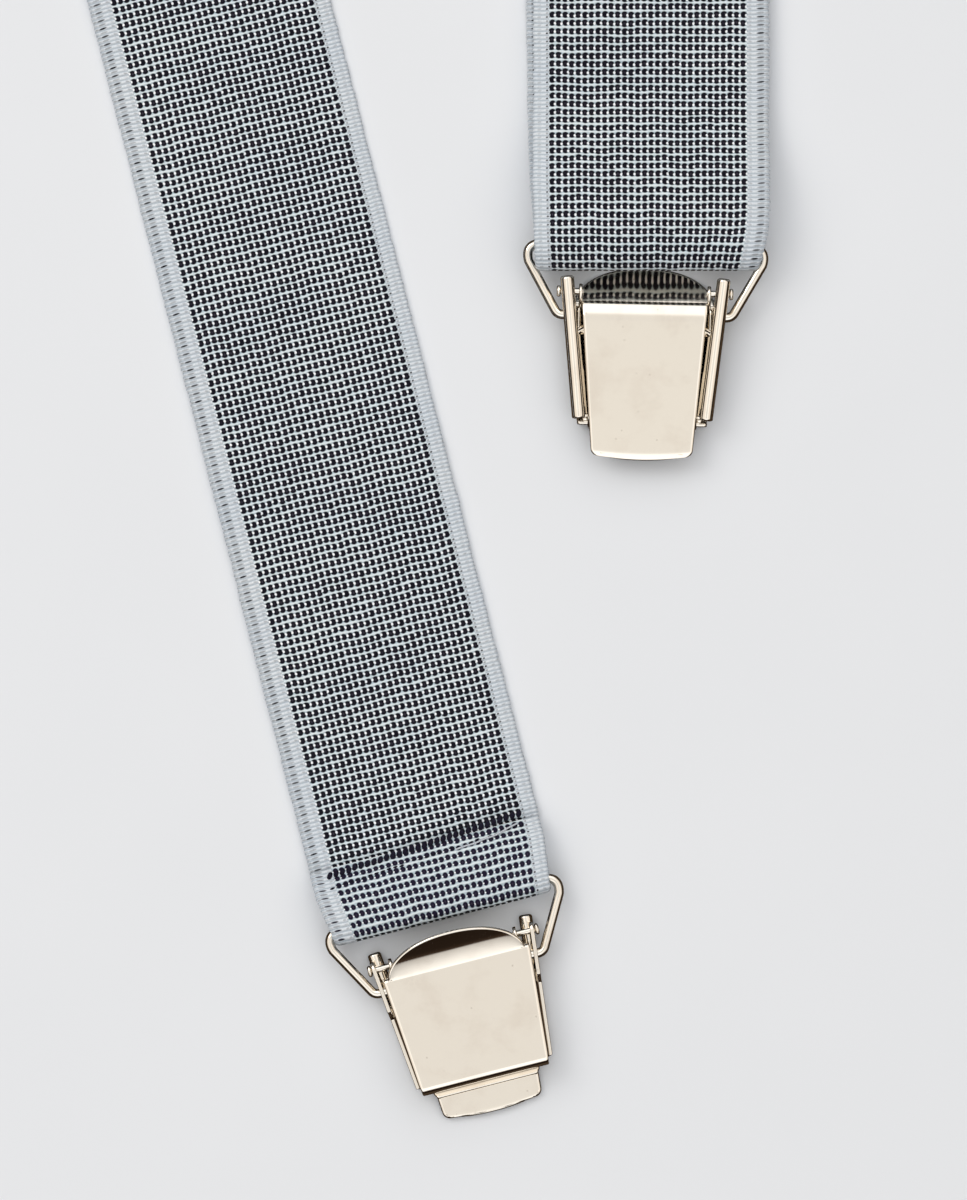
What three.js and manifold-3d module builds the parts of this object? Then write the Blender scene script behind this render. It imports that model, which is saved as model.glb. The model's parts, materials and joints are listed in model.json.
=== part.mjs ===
// Elastic braces (suspenders) with a Y back, laid flat on a surface as if hung by the shoulders.
// The two front straps lie on top, outer face up. The back strap lies on its outer face, inner face up.
// Each end hangs on a wire loop and holds a nickel clip: a frame with two rolled side rails, a rear
// jaw, a snap lever and the lever's pivot. A sliding adjuster on each front strap sets its length.
// Millimetres, +Z up. The origin is the centre of the resting area, at the height of the surface.

import * as THREE from 'three';
import { mergeVertices } from 'three/addons/utils/BufferGeometryUtils.js';
import Module from 'manifold-3d';

const wasm = await Module();
wasm.setup();

const RAD = Math.PI / 180;
const GAP = 0.3; // running clearance between neighbouring pieces

// ---- Driving dimensions -------------------------------------------------------------------------

const STRAP = { width: 35, thick: 1.2 };
const LAID = STRAP.thick / 2; // height of a strap's middle where it lies on the surface
const OVER = LAID + STRAP.thick + GAP; // the same, for a strap that lies on another

// Clip, in its own frame: x across, y towards the strap, z towards its front face, with the origin
// on the axis where the wire loop's ends enter the frame.
const CLIP = {
  sheet: 0.7,
  wall: 0.6,
  top: 5.8,
  bottom: -15.7,
  halfWidthAtAxis: 12.04, // over the side walls
  taper: Math.atan(0.1047), // each side leans in towards the bottom
  railRadius: 0.95,
  railHeight: 2.1,
  frameBack: 0.3, // rear face of the frame's plate
  jawBack: -1.8, // rear face of the jaw's plate
  pivot: { y: 3.5, z: 0.35, radius: 0.5 },
  leverBack: 1.95,
  leverEnd: -21.5,
};
const DOME = { start: 1.6, peak: 6.5, rim: -4.4, halfWidth: 8.4 };
const WIRE = { radius: 0.7, reach: 10.5, halfBar: 18.6, innerEnd: 10.3, outerEnd: 12.9 };

const ADJUSTER = { halfInside: 18, wall: 0.8, low: -11, high: 10, strapHeight: 4.7, pinY: 6, pinZ: 7.3 };

// Places on the surface. turn is the angle of a strap's run from +Y, anticlockwise, in degrees.
const RIGHT = { x: 24.8, barY: 52.5, shoulderY: 430, adjusterY: 186, skew: -1.2 };
const LEFT = { x: -162, barY: 44, shoulderY: 430, adjusterY: 176, skew: 0.8 };
const BACK = { x: -6.5, y: -45.2, turn: 14.33, patchAt: 190 };
const PATCH = { thick: 1.1, spread: 18, strapOffset: 18, frontEndAt: 8, backEndAt: -4 };
const PATCH_STRAP = PATCH.thick + GAP + LAID; // height of a strap's middle between the two leathers

// A clip that lies on its back rests on the rim of its dome and on its lip, so it tilts.
const LIP = { y: CLIP.bottom - CLIP.sheet, z: CLIP.jawBack };
const TILT = Math.atan((LIP.z - DOME.rim) / (DOME.peak - LIP.y));
const FACE_UP = { axis: -DOME.rim * Math.cos(TILT) - DOME.peak * Math.sin(TILT), bar: 4.2 };
const FACE_DOWN = { axis: CLIP.railHeight + CLIP.railRadius, bar: CLIP.railHeight + CLIP.railRadius };

// ---- Materials ----------------------------------------------------------------------------------

const paint = (color, roughness, metalness) => new THREE.MeshStandardMaterial({ color, roughness, metalness });
const WEBBING = paint(0x8f9bb0, 0.9, 0);
const LEATHER = paint(0x1c2233, 0.55, 0);
const NICKEL = paint(0xd8d2c6, 0.2, 1);
const STEEL = paint(0xb9b8b4, 0.25, 1);

// ---- Solids -------------------------------------------------------------------------------------

function toSolid(geometry) {
  const bare = geometry.clone();
  bare.deleteAttribute('normal');
  bare.deleteAttribute('uv');
  const merged = mergeVertices(bare, 1e-4);
  return new wasm.Manifold(
    new wasm.Mesh({
      numProp: 3,
      vertProperties: new Float32Array(merged.attributes.position.array),
      triVerts: new Uint32Array(merged.index.array),
    }),
  );
}

function toGeometry(solid) {
  const mesh = solid.getMesh();
  const geometry = new THREE.BufferGeometry();
  geometry.setAttribute('position', new THREE.BufferAttribute(new Float32Array(mesh.vertProperties), 3));
  geometry.setIndex(new THREE.BufferAttribute(new Uint32Array(mesh.triVerts), 1));
  geometry.computeVertexNormals();
  return geometry;
}

const join = (...parts) => toGeometry(parts.map(toSolid).reduce((a, b) => a.add(b)));
const cut = (body, ...tools) => toGeometry(tools.map(toSolid).reduce((a, b) => a.subtract(b), toSolid(body)));
const common = (a, b) => toGeometry(toSolid(a).intersect(toSolid(b)));

function block(x0, x1, y0, y1, z0, z1) {
  const box = new THREE.BoxGeometry(x1 - x0, y1 - y0, z1 - z0);
  return box.translate((x0 + x1) / 2, (y0 + y1) / 2, (z0 + z1) / 2);
}

// An outline in the y-z plane, pushed along x from x0 to x1.
function acrossX(shape, x0, x1) {
  const geometry = new THREE.ExtrudeGeometry(shape, { depth: x1 - x0, bevelEnabled: false, curveSegments: 6 });
  const turn = new THREE.Matrix4().makeBasis(
    new THREE.Vector3(0, 1, 0),
    new THREE.Vector3(0, 0, 1),
    new THREE.Vector3(1, 0, 0),
  );
  return geometry.applyMatrix4(turn).translate(x0, 0, 0);
}

// An outline in the x-y plane, pushed along z from z0 to z1.
function alongZ(shape, z0, z1, curveSegments = 8) {
  const geometry = new THREE.ExtrudeGeometry(shape, { depth: z1 - z0, bevelEnabled: false, curveSegments });
  return geometry.translate(0, 0, z0);
}

// A round bar along x.
function barX(radius, x0, x1, y, z, sides = 12) {
  const bar = new THREE.CylinderGeometry(radius, radius, x1 - x0, sides);
  return bar.rotateZ(Math.PI / 2).translate((x0 + x1) / 2, y, z);
}

function outline(points) {
  return new THREE.Shape(points.map(([x, y]) => new THREE.Vector2(x, y)));
}

function mirrored(half) {
  return outline([...half, ...half.map(([x, y]) => [-x, y]).reverse()]);
}

// A flat strap: a rectangle of the strap's section carried along a row of stations. Each knot is
// { at: Vector3, turn: degrees, half: half width }; the path is a smooth curve through the knots.
function ribbon(knots, steps = 4) {
  const curve = new THREE.CatmullRomCurve3(knots.map((k) => k.at), false, 'centripetal');
  const spans = knots.length - 1;
  const stations = [];
  for (let span = 0; span < spans; span += 1) {
    const straight = knots[span].straight ? 1 : steps;
    for (let step = 0; step < straight; step += 1) {
      stations.push({ span, part: step / straight });
    }
  }
  stations.push({ span: spans - 1, part: 1 });

  const positions = [];
  for (const { span, part } of stations) {
    const t = (span + part) / spans;
    const from = knots[span];
    const to = knots[span + 1];
    const turn = THREE.MathUtils.lerp(from.turn, to.turn, part) * RAD;
    const half = THREE.MathUtils.lerp(from.half, to.half, part);
    const centre = curve.getPoint(t);
    const across = new THREE.Vector3(Math.cos(turn), Math.sin(turn), 0);
    const ahead = curve.getTangent(t);
    const normal = new THREE.Vector3().crossVectors(across, ahead).normalize();
    for (const [a, n] of [[-1, -1], [1, -1], [1, 1], [-1, 1]]) {
      const corner = centre.clone();
      corner.addScaledVector(across, a * half);
      corner.addScaledVector(normal, (n * STRAP.thick) / 2);
      positions.push(corner.x, corner.y, corner.z);
    }
  }

  const index = [0, 1, 2, 0, 2, 3];
  const last = (stations.length - 1) * 4;
  index.push(last, last + 2, last + 1, last, last + 3, last + 2);
  for (let base = 0; base < last; base += 4) {
    for (let side = 0; side < 4; side += 1) {
      const a = base + side;
      const b = base + ((side + 1) % 4);
      index.push(a, a + 4, b + 4, a, b + 4, b);
    }
  }
  const geometry = new THREE.BufferGeometry();
  geometry.setAttribute('position', new THREE.Float32BufferAttribute(positions, 3));
  geometry.setIndex(index);
  geometry.computeVertexNormals();
  return geometry;
}

const HALF = STRAP.width / 2;

// A knot in a strap end's own frame: y along the strap from its wire loop's bar, z up.
const knot = (y, z, half = HALF, straight = false) => ({ at: new THREE.Vector3(0, y, z), turn: 0, half, straight });

function mesh(name, geometry, material) {
  const piece = new THREE.Mesh(geometry, material);
  piece.name = name;
  return piece;
}

// ---- Clip ---------------------------------------------------------------------------------------

const halfWidthAt = (y) => CLIP.halfWidthAtAxis + y * Math.tan(CLIP.taper);

function sideWall(side) {
  const ear = { back: -2, front: 2.6, low: -3, soft: 1.2 };
  const profile = new THREE.Shape();
  profile.moveTo(CLIP.bottom, CLIP.frameBack);
  profile.lineTo(ear.low - ear.soft, CLIP.frameBack);
  profile.lineTo(ear.low, ear.back);
  profile.lineTo(CLIP.top - ear.soft, ear.back);
  profile.quadraticCurveTo(CLIP.top, ear.back, CLIP.top, ear.back + ear.soft);
  profile.lineTo(CLIP.top, ear.front - ear.soft);
  profile.quadraticCurveTo(CLIP.top, ear.front, CLIP.top - ear.soft, ear.front);
  profile.lineTo(CLIP.bottom, ear.front);
  const outer = CLIP.halfWidthAtAxis;
  const wall = acrossX(profile, -CLIP.wall, 0).rotateZ(-CLIP.taper).translate(outer, 0, 0);
  return side > 0 ? wall : mirrorX(wall);
}

// The same piece on the other side of x = 0, with its faces still pointing out.
function mirrorX(geometry) {
  const flipped = geometry.index ? geometry.toNonIndexed() : geometry.clone();
  flipped.scale(-1, 1, 1);
  const p = flipped.attributes.position;
  for (let i = 0; i < p.count; i += 3) {
    const swap = [p.getX(i + 1), p.getY(i + 1), p.getZ(i + 1)];
    p.setXYZ(i + 1, p.getX(i + 2), p.getY(i + 2), p.getZ(i + 2));
    p.setXYZ(i + 2, ...swap);
  }
  return flipped;
}

function rail(side) {
  const length = CLIP.top - CLIP.bottom - 2 * CLIP.railRadius;
  const bead = new THREE.CapsuleGeometry(CLIP.railRadius, length, 3, 10);
  bead.translate(-CLIP.wall - CLIP.railRadius + 0.05, (CLIP.top + CLIP.bottom) / 2, CLIP.railHeight);
  bead.rotateZ(-CLIP.taper).translate(CLIP.halfWidthAtAxis, 0, 0);
  return side > 0 ? bead : mirrorX(bead);
}

function clipFrame() {
  const lowEdge = CLIP.bottom - 1.8;
  const highEdge = -2.1;
  const step = CLIP.bottom - 0.3;
  const plate = mirrored([
    [8.4, lowEdge],
    [8.6, step],
    [halfWidthAt(step) - 0.3, step],
    [halfWidthAt(highEdge) - 0.3, highEdge],
  ]);
  const sheet = alongZ(plate, CLIP.frameBack, CLIP.frameBack + CLIP.sheet);
  const body = join(sheet, sideWall(1), sideWall(-1), rail(1), rail(-1));
  const reach = halfWidthAt(CLIP.top) + 1;
  const { y, z, radius } = CLIP.pivot;
  const wireHole = barX(WIRE.radius + GAP, -reach, reach, 0, 0);
  const pivotHole = barX(radius + GAP, -reach, reach, y, z);
  return cut(body, wireHole, pivotHole);
}

function clipPivot() {
  const { y, z, radius } = CLIP.pivot;
  const head = 0.9;
  const inside = halfWidthAt(y) + GAP;
  const outside = inside + 0.5;
  const profile = [
    [0, -outside],
    [head * 0.7, -outside],
    [head, -outside + 0.25],
    [head, -inside],
    [radius, -inside],
    [radius, inside],
    [head, inside],
    [head, outside - 0.25],
    [head * 0.7, outside],
    [0, outside],
  ].map(([r, x]) => new THREE.Vector2(r, x));
  return new THREE.LatheGeometry(profile, 12).rotateZ(Math.PI / 2).translate(0, y, z);
}

// The jaw's sheet seen from the side: lip, flat plate and the dome that flares backwards.
function jawProfile() {
  const back = CLIP.jawBack;
  const front = back + CLIP.sheet;
  const rise = DOME.peak - DOME.start;
  const depth = back - DOME.rim;
  const sweep = 2 * Math.atan(depth / rise);
  const radius = rise / Math.sin(sweep);
  const profile = new THREE.Shape();
  profile.moveTo(LIP.y, back);
  profile.lineTo(DOME.start, back);
  const centre = back - radius;
  profile.absarc(DOME.start, centre, radius, Math.PI / 2, Math.PI / 2 - sweep, true);
  profile.absarc(DOME.start, centre, radius + CLIP.sheet, Math.PI / 2 - sweep, Math.PI / 2, false);
  profile.lineTo(CLIP.bottom, front);
  profile.lineTo(CLIP.bottom, CLIP.frameBack - GAP);
  profile.lineTo(LIP.y, CLIP.frameBack - GAP);
  return profile;
}

function clipJaw() {
  const shoulder = { x: 11.1, y: 0.9 };
  const face = new THREE.Shape();
  face.moveTo(-9.75, LIP.y - 1);
  face.lineTo(9.75, LIP.y - 1);
  face.lineTo(shoulder.x, shoulder.y);
  face.quadraticCurveTo(DOME.halfWidth + 0.3, shoulder.y + 0.4, DOME.halfWidth, DOME.start + 1.4);
  face.bezierCurveTo(6.4, DOME.peak + 0.3, 3, DOME.peak + 0.8, 0, DOME.peak + 0.8);
  face.bezierCurveTo(-3, DOME.peak + 0.8, -6.4, DOME.peak + 0.3, -DOME.halfWidth, DOME.start + 1.4);
  face.quadraticCurveTo(-DOME.halfWidth - 0.3, shoulder.y + 0.4, -shoulder.x, shoulder.y);
  const sheet = common(acrossX(jawProfile(), -12, 12), alongZ(face, -6, 2, 6));

  const ear = outline([[-1.6, CLIP.jawBack + 0.1], [1.2, CLIP.jawBack + 0.1], [1.5, 0.1], [0.8, 0.85], [-0.8, 0.85], [-1.6, 0.1]]);
  const ears = [acrossX(ear, 10.5, 11.1), acrossX(ear, -11.1, -10.5)];
  const wireHole = barX(WIRE.radius + GAP, -12, 12, 0, 0);

  const notches = [];
  const pitch = 2.1;
  for (let i = -4; i <= 3; i += 1) {
    const x = (i + 0.5) * pitch;
    notches.push(block(x - 0.55, x + 0.55, LIP.y - 1, CLIP.bottom + 0.2, CLIP.frameBack - GAP - 0.5, CLIP.frameBack));
  }
  return cut(join(sheet, ...ears), wireHole, ...notches);
}

function clipLever() {
  const back = CLIP.leverBack;
  const front = back + CLIP.sheet;
  const bend = 1.8; // outer side of the bend above the tongue
  const cam = CLIP.jawBack + CLIP.sheet + GAP;
  const profile = new THREE.Shape();
  profile.moveTo(CLIP.leverEnd, back);
  profile.lineTo(bend - CLIP.sheet - 0.4, back);
  profile.quadraticCurveTo(bend - CLIP.sheet, back, bend - CLIP.sheet, back - 0.4);
  profile.lineTo(bend - CLIP.sheet, cam);
  profile.lineTo(bend, cam);
  profile.lineTo(bend, front - 1);
  profile.quadraticCurveTo(bend, front, bend - 1, front);
  profile.lineTo(CLIP.leverEnd, front);

  const top = 9.3;
  const low = 7;
  const soft = 2;
  const face = new THREE.Shape();
  face.moveTo(-low + soft, CLIP.leverEnd);
  face.lineTo(low - soft, CLIP.leverEnd);
  face.quadraticCurveTo(low, CLIP.leverEnd, low + 0.15, CLIP.leverEnd + soft);
  face.lineTo(top, bend + 0.1);
  face.lineTo(-top, bend + 0.1);
  face.lineTo(-low - 0.15, CLIP.leverEnd + soft);
  face.quadraticCurveTo(-low, CLIP.leverEnd, -low + soft, CLIP.leverEnd);
  const tongue = common(acrossX(profile, -10, 10), alongZ(face, -2, 4));

  const { y, z, radius } = CLIP.pivot;
  const eye = 1.15;
  const ears = [];
  for (const side of [-1, 1]) {
    const x0 = side > 0 ? top - CLIP.wall : -top;
    const web = outline([[0.4, back + 0.2], [0.9, 0], [y, z - eye], [y + eye * 0.7, z], [y, z + eye], [1.7, back + 0.2]]);
    ears.push(acrossX(web, x0, x0 + CLIP.wall), barX(eye, x0, x0 + CLIP.wall, y, z));
  }
  return cut(join(tongue, ...ears), barX(radius + GAP, -10, 10, y, z));
}

// The wire loop, in the clip's frame before it tilts: its ends on the axis y = 0 point inwards.
function wireLoop() {
  const { radius, reach, halfBar, innerEnd, outerEnd } = WIRE;
  const knee = 0.8;
  const corner = 2.4;
  const leg = new THREE.Vector2(halfBar - outerEnd, reach - corner).normalize();
  const point = (x, y) => new THREE.Vector3(x, y, 0);
  const half = (side) => [
    point(side * innerEnd, 0),
    point(side * (outerEnd - knee), 0),
    point(side * outerEnd, 0),
    point(side * (outerEnd + leg.x * knee), leg.y * knee),
    point(side * (halfBar - leg.x * 0.4), reach - corner - leg.y * 0.4),
    point(side * (halfBar + 0.25), reach - corner / 2),
    point(side * (halfBar - corner), reach),
  ];
  const right = half(1);
  const left = half(-1);
  const path = new THREE.CurvePath();
  const bend = (a, b, c) => path.add(new THREE.QuadraticBezierCurve3(a, b, c));
  const line = (a, b) => path.add(new THREE.LineCurve3(a, b));
  const cornerTip = (side) => point(side * (halfBar + 0.6), reach);
  line(right[0], right[1]);
  bend(right[1], right[2], right[3]);
  line(right[3], right[4]);
  bend(right[4], cornerTip(1), right[6]);
  line(right[6], left[6]);
  bend(left[6], cornerTip(-1), left[4]);
  line(left[4], left[3]);
  bend(left[3], left[2], left[1]);
  line(left[1], left[0]);
  const section = new THREE.Shape();
  section.absarc(0, 0, radius, 0, 2 * Math.PI, false);
  return new THREE.ExtrudeGeometry(section, {
    extrudePath: path,
    steps: 48,
    curveSegments: 4,
    bevelEnabled: false,
  });
}

// One end of a strap: the wire loop and the clip that hangs on it. origin is under the loop's bar.
function stripEnd(prefix, { x, y, turn, skew, lie, flipped }) {
  const end = new THREE.Group();
  end.position.set(x, y, 0);
  end.rotation.z = (turn + skew) * RAD;

  const lean = Math.asin((lie.bar - lie.axis) / WIRE.reach);
  const axis = new THREE.Vector3(0, -WIRE.reach * Math.cos(lean), lie.axis);

  const loop = new THREE.Group();
  loop.position.copy(axis);
  loop.rotation.x = lean;
  loop.add(mesh(`${prefix}_wire_loop`, wireLoop(), STEEL));

  const clip = new THREE.Group();
  clip.position.copy(axis);
  if (flipped) {
    clip.rotation.y = Math.PI;
  } else {
    clip.rotation.x = TILT;
  }
  clip.add(
    mesh(`${prefix}_clip_frame`, clipFrame(), NICKEL),
    mesh(`${prefix}_clip_pivot`, clipPivot(), STEEL),
    mesh(`${prefix}_clip_jaw`, clipJaw(), NICKEL),
    mesh(`${prefix}_clip_lever`, clipLever(), NICKEL),
  );
  end.add(loop, clip);
  return end;
}

// ---- Adjuster -----------------------------------------------------------------------------------

const BOTTOM_BAR = { y0: -11, y1: -7, z0: LAID * 2 + GAP, z1: LAID * 2 + GAP + 0.8 };

function adjusterFrame() {
  const { halfInside, wall, low, high, strapHeight, pinY, pinZ } = ADJUSTER;
  const under = strapHeight - LAID - GAP;
  const profile = new THREE.Shape();
  profile.moveTo(low, BOTTOM_BAR.z0);
  profile.lineTo(high, BOTTOM_BAR.z0);
  profile.lineTo(high, pinZ);
  profile.quadraticCurveTo(high, pinZ + 1.8, pinY, pinZ + 1.8);
  profile.lineTo(pinY - 3, pinZ);
  profile.lineTo(low + 1, strapHeight);
  profile.quadraticCurveTo(low, strapHeight, low, strapHeight - 1);
  const walls = [acrossX(profile, halfInside, halfInside + wall), acrossX(profile, -halfInside - wall, -halfInside)];
  const inside = halfInside + 0.2;
  const bar = block(-inside, inside, BOTTOM_BAR.y0, BOTTOM_BAR.y1, BOTTOM_BAR.z0, BOTTOM_BAR.z1);
  const base = block(-inside, inside, -3, high - 1, under - 0.8, under);
  const pinHole = barX(0.8 + GAP, -halfInside - 2, halfInside + 2, pinY, pinZ);
  return cut(join(...walls, bar, base), pinHole);
}

function adjusterPin() {
  const { halfInside, wall, pinY, pinZ } = ADJUSTER;
  const inside = halfInside + wall + GAP;
  const outside = inside + 0.5;
  const profile = [[0, -outside], [1.5, -outside], [1.5, -inside], [0.8, -inside]];
  const points = [...profile, ...profile.map(([r, x]) => [r, -x]).reverse()];
  const lathe = new THREE.LatheGeometry(points.map(([r, x]) => new THREE.Vector2(r, x)), 12);
  return lathe.rotateZ(Math.PI / 2).translate(0, pinY, pinZ);
}

function adjusterFlap() {
  const { halfInside, low, strapHeight, pinY, pinZ } = ADJUSTER;
  const half = halfInside - GAP;
  const over = strapHeight + LAID + GAP;
  const sheet = 0.8;
  const barrel = barX(1.6, -half, half, pinY, pinZ, 16);
  const corner = 3;
  const face = new THREE.Shape();
  face.moveTo(-half + corner, low);
  face.lineTo(half - corner, low);
  face.quadraticCurveTo(half, low, half, low + corner);
  face.lineTo(half, pinY);
  face.lineTo(-half, pinY);
  face.lineTo(-half, low + corner);
  face.quadraticCurveTo(-half, low, -half + corner, low);
  const top = pinZ + 1.5;
  const plate = alongZ(face, top - sheet, top);
  const parts = [plate, barrel];
  const teeth = 11;
  const pitch = (2 * half - 2) / teeth;
  for (let i = 0; i < teeth; i += 1) {
    const x = -half + 1 + (i + 0.5) * pitch;
    parts.push(block(x - pitch * 0.3, x + pitch * 0.3, pinY - 1.4, pinY - 0.4, over, pinZ));
  }
  return cut(join(...parts), barX(0.8 + GAP, -half - 1, half + 1, pinY, pinZ));
}

// The strap's end, sewn round the adjuster's bottom bar. It moves with the adjuster.
function strapEnd() {
  const middle = (BOTTOM_BAR.z0 + BOTTOM_BAR.z1) / 2;
  const topZ = BOTTOM_BAR.z1 + GAP + LAID;
  const round = BOTTOM_BAR.y1 + GAP;
  return ribbon([
    knot(-26, LAID, HALF, true),
    knot(-13, LAID, HALF, true),
    knot(round - 0.5, LAID),
    knot(round + LAID + 0.5, middle),
    knot(round - 0.5, topZ),
    knot(-12.5, topZ - 0.1),
    knot(-18, OVER + 0.1),
    knot(-24, OVER),
  ], 3);
}

function adjuster(side, { x, adjusterY }) {
  const group = new THREE.Group();
  group.position.set(x, adjusterY, 0);
  group.add(
    mesh(`${side}_adjuster_frame`, adjusterFrame(), NICKEL),
    mesh(`${side}_adjuster_pin`, adjusterPin(), STEEL),
    mesh(`${side}_adjuster_flap`, adjusterFlap(), NICKEL),
    mesh(`front_${side}_strap_end`, strapEnd(), WEBBING),
  );
  return group;
}

// ---- Straps -------------------------------------------------------------------------------------

// The front run: from under the adjuster down to the clip, round the wire's bar and up to the
// shoulder. Its fold is loose, and drawn in a little so that the wire's legs pass beside it.
function frontStrap({ barY, adjusterY, shoulderY }) {
  const bar = FACE_UP.bar;
  const fold = { front: 4.2, high: 2.4, centre: 1 };
  const drawnIn = 16.2;
  const upTo = (y) => y - barY;
  const round = (degrees) => {
    const a = degrees * RAD;
    return knot(fold.centre + fold.front * Math.cos(a), bar + fold.high * Math.sin(a), drawnIn);
  };
  const raised = ADJUSTER.strapHeight;
  return ribbon([
    knot(upTo(adjusterY - 26 - GAP), LAID, HALF, true),
    knot(22, LAID),
    knot(10, LAID + 0.5, HALF - 0.3),
    round(-90),
    round(-145),
    round(180),
    round(145),
    round(90),
    knot(9, bar + 1.6, HALF - 0.3),
    knot(19, OVER + 0.7),
    knot(30, OVER, HALF, true),
    knot(upTo(adjusterY - 48), OVER),
    knot(upTo(adjusterY - 28), raised, HALF, true),
    knot(upTo(adjusterY + 82), raised),
    knot(upTo(adjusterY + 104), OVER, HALF, true),
    knot(upTo(shoulderY - 34), OVER),
  ], 3).translate(0, barY, 0);
}

// The rear run: from between the patch's leathers, over the surface, and round the shoulder fold.
function shoulderStrap(x, shoulderY, start, heading, arrival) {
  const top = { out: 3.4, high: 6.6 };
  const reach = 100;
  const ahead = (from, degrees, length) => new THREE.Vector3(
    from.x - Math.sin(degrees * RAD) * length,
    from.y + Math.cos(degrees * RAD) * length,
    0,
  );
  const end = new THREE.Vector3(x, shoulderY, 0);
  const plan = new THREE.CubicBezierCurve3(start, ahead(start, heading, reach), ahead(end, arrival, -reach), end);
  const knots = [];
  const steps = 14;
  for (let i = 0; i < steps; i += 1) {
    const t = i / steps;
    const at = plan.getPoint(t);
    const way = plan.getTangent(t);
    const drop = THREE.MathUtils.smoothstep(at.distanceTo(start), 22, 42);
    at.z = THREE.MathUtils.lerp(PATCH_STRAP, LAID, drop);
    knots.push({ at, turn: Math.atan2(-way.x, way.y) / RAD, half: HALF, straight: true });
  }
  const loop = (dy, z, share) => {
    knots.push({ at: new THREE.Vector3(x, shoulderY + dy, z), turn: arrival * share, half: HALF });
  };
  loop(-6, LAID + 0.1, 1);
  loop(1, 1.3, 0.85);
  loop(top.out, top.high / 2 + 0.4, 0.6);
  loop(1, top.high, 0.35);
  loop(-8, top.high - 1.2, 0.15);
  loop(-20, OVER + 0.9, 0);
  loop(-28, OVER + 0.1, 0);
  loop(-34 + GAP, OVER, 0);
  return ribbon(knots, 3);
}

// The back strap: a short tail folded over the wire's bar, then straight up into the patch.
function backStrap() {
  const bar = FACE_DOWN.bar;
  const mid = WIRE.radius + GAP + LAID;
  return ribbon([
    knot(11.5, 2.35, HALF, true),
    knot(7, 3.2),
    knot(0.6, bar + mid),
    knot(-mid * 0.72, bar + mid * 0.72),
    knot(-mid, bar),
    knot(-mid * 0.72, bar - mid * 0.72),
    knot(0.6, bar - mid),
    knot(8, LAID + 0.3),
    knot(16, LAID, HALF, true),
    knot(BACK.patchAt - 46, LAID),
    knot(BACK.patchAt - 26, PATCH_STRAP, HALF, true),
    knot(BACK.patchAt + PATCH.backEndAt, PATCH_STRAP),
  ], 3);
}

// ---- Patch --------------------------------------------------------------------------------------

function patchShape() {
  const shape = new THREE.Shape();
  const corner = (x, y, toX, toY) => shape.quadraticCurveTo(x, y, toX, toY);
  shape.moveTo(-17, -25);
  shape.lineTo(17, -25);
  corner(21, -25, 23, -22);
  shape.lineTo(40, 1);
  corner(42, 4, 41, 7);
  shape.lineTo(36, 21);
  corner(35, 25, 31, 24);
  corner(12, 17, 0, 17);
  corner(-12, 17, -31, 24);
  corner(-35, 25, -36, 21);
  shape.lineTo(-41, 7);
  corner(-42, 4, -40, 1);
  shape.lineTo(-23, -22);
  corner(-21, -25, -17, -25);
  return shape;
}

function backHalf() {
  const group = new THREE.Group();
  group.position.set(BACK.x, BACK.y, 0);
  group.rotation.z = BACK.turn * RAD;
  const leather = (z0) => alongZ(patchShape(), z0, z0 + PATCH.thick, 4).translate(0, BACK.patchAt, 0);
  group.add(
    mesh('back_strap', backStrap(), WEBBING),
    mesh('patch_outer_leather', leather(0), LEATHER),
    mesh('patch_inner_leather', leather(PATCH_STRAP + LAID + GAP), LEATHER),
  );
  return group;
}

// Where a front strap starts inside the patch, on the surface.
function patchPoint(side) {
  const turn = BACK.turn * RAD;
  const up = BACK.patchAt + PATCH.frontEndAt;
  const across = side * PATCH.strapOffset;
  return new THREE.Vector3(
    BACK.x + across * Math.cos(turn) - up * Math.sin(turn),
    BACK.y + across * Math.sin(turn) + up * Math.cos(turn),
    0,
  );
}

// ---- Assembly -----------------------------------------------------------------------------------

const braces = new THREE.Group();

for (const [side, place, sign, arrival] of [['right', RIGHT, 1, -8], ['left', LEFT, -1, 3]]) {
  const front = mesh(`front_${side}_strap`, frontStrap(place), WEBBING);
  front.position.x = place.x;
  const heading = BACK.turn - sign * PATCH.spread;
  const rear = shoulderStrap(place.x, place.shoulderY, patchPoint(sign), heading, arrival);
  braces.add(
    front,
    mesh(`${side}_shoulder_strap`, rear, WEBBING),
    adjuster(side, place),
    stripEnd(`front_${side}`, { x: place.x, y: place.barY, turn: 0, skew: place.skew, lie: FACE_UP }),
  );
}
braces.add(
  backHalf(),
  stripEnd('back', { x: BACK.x, y: BACK.y, turn: BACK.turn, skew: 0, lie: FACE_DOWN, flipped: true }),
);

// The origin goes to the middle of the resting area.
const extent = new THREE.Box3().setFromObject(braces, true);
const middle = extent.getCenter(new THREE.Vector3());
braces.position.set(-middle.x, -middle.y, -extent.min.z);

export default braces;
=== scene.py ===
"""Elastic braces with a Y back, laid flat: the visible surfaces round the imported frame.

Shapes are worked out in millimetres, in the row frame or in a clip's or adjuster's own frame, and become
metres when their meshes are made. A clip's own frame has x across, y towards its strap, z towards its
front face and its origin on the hinge, which is the line of the wire loop's ends.
"""

import json
import math

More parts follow.
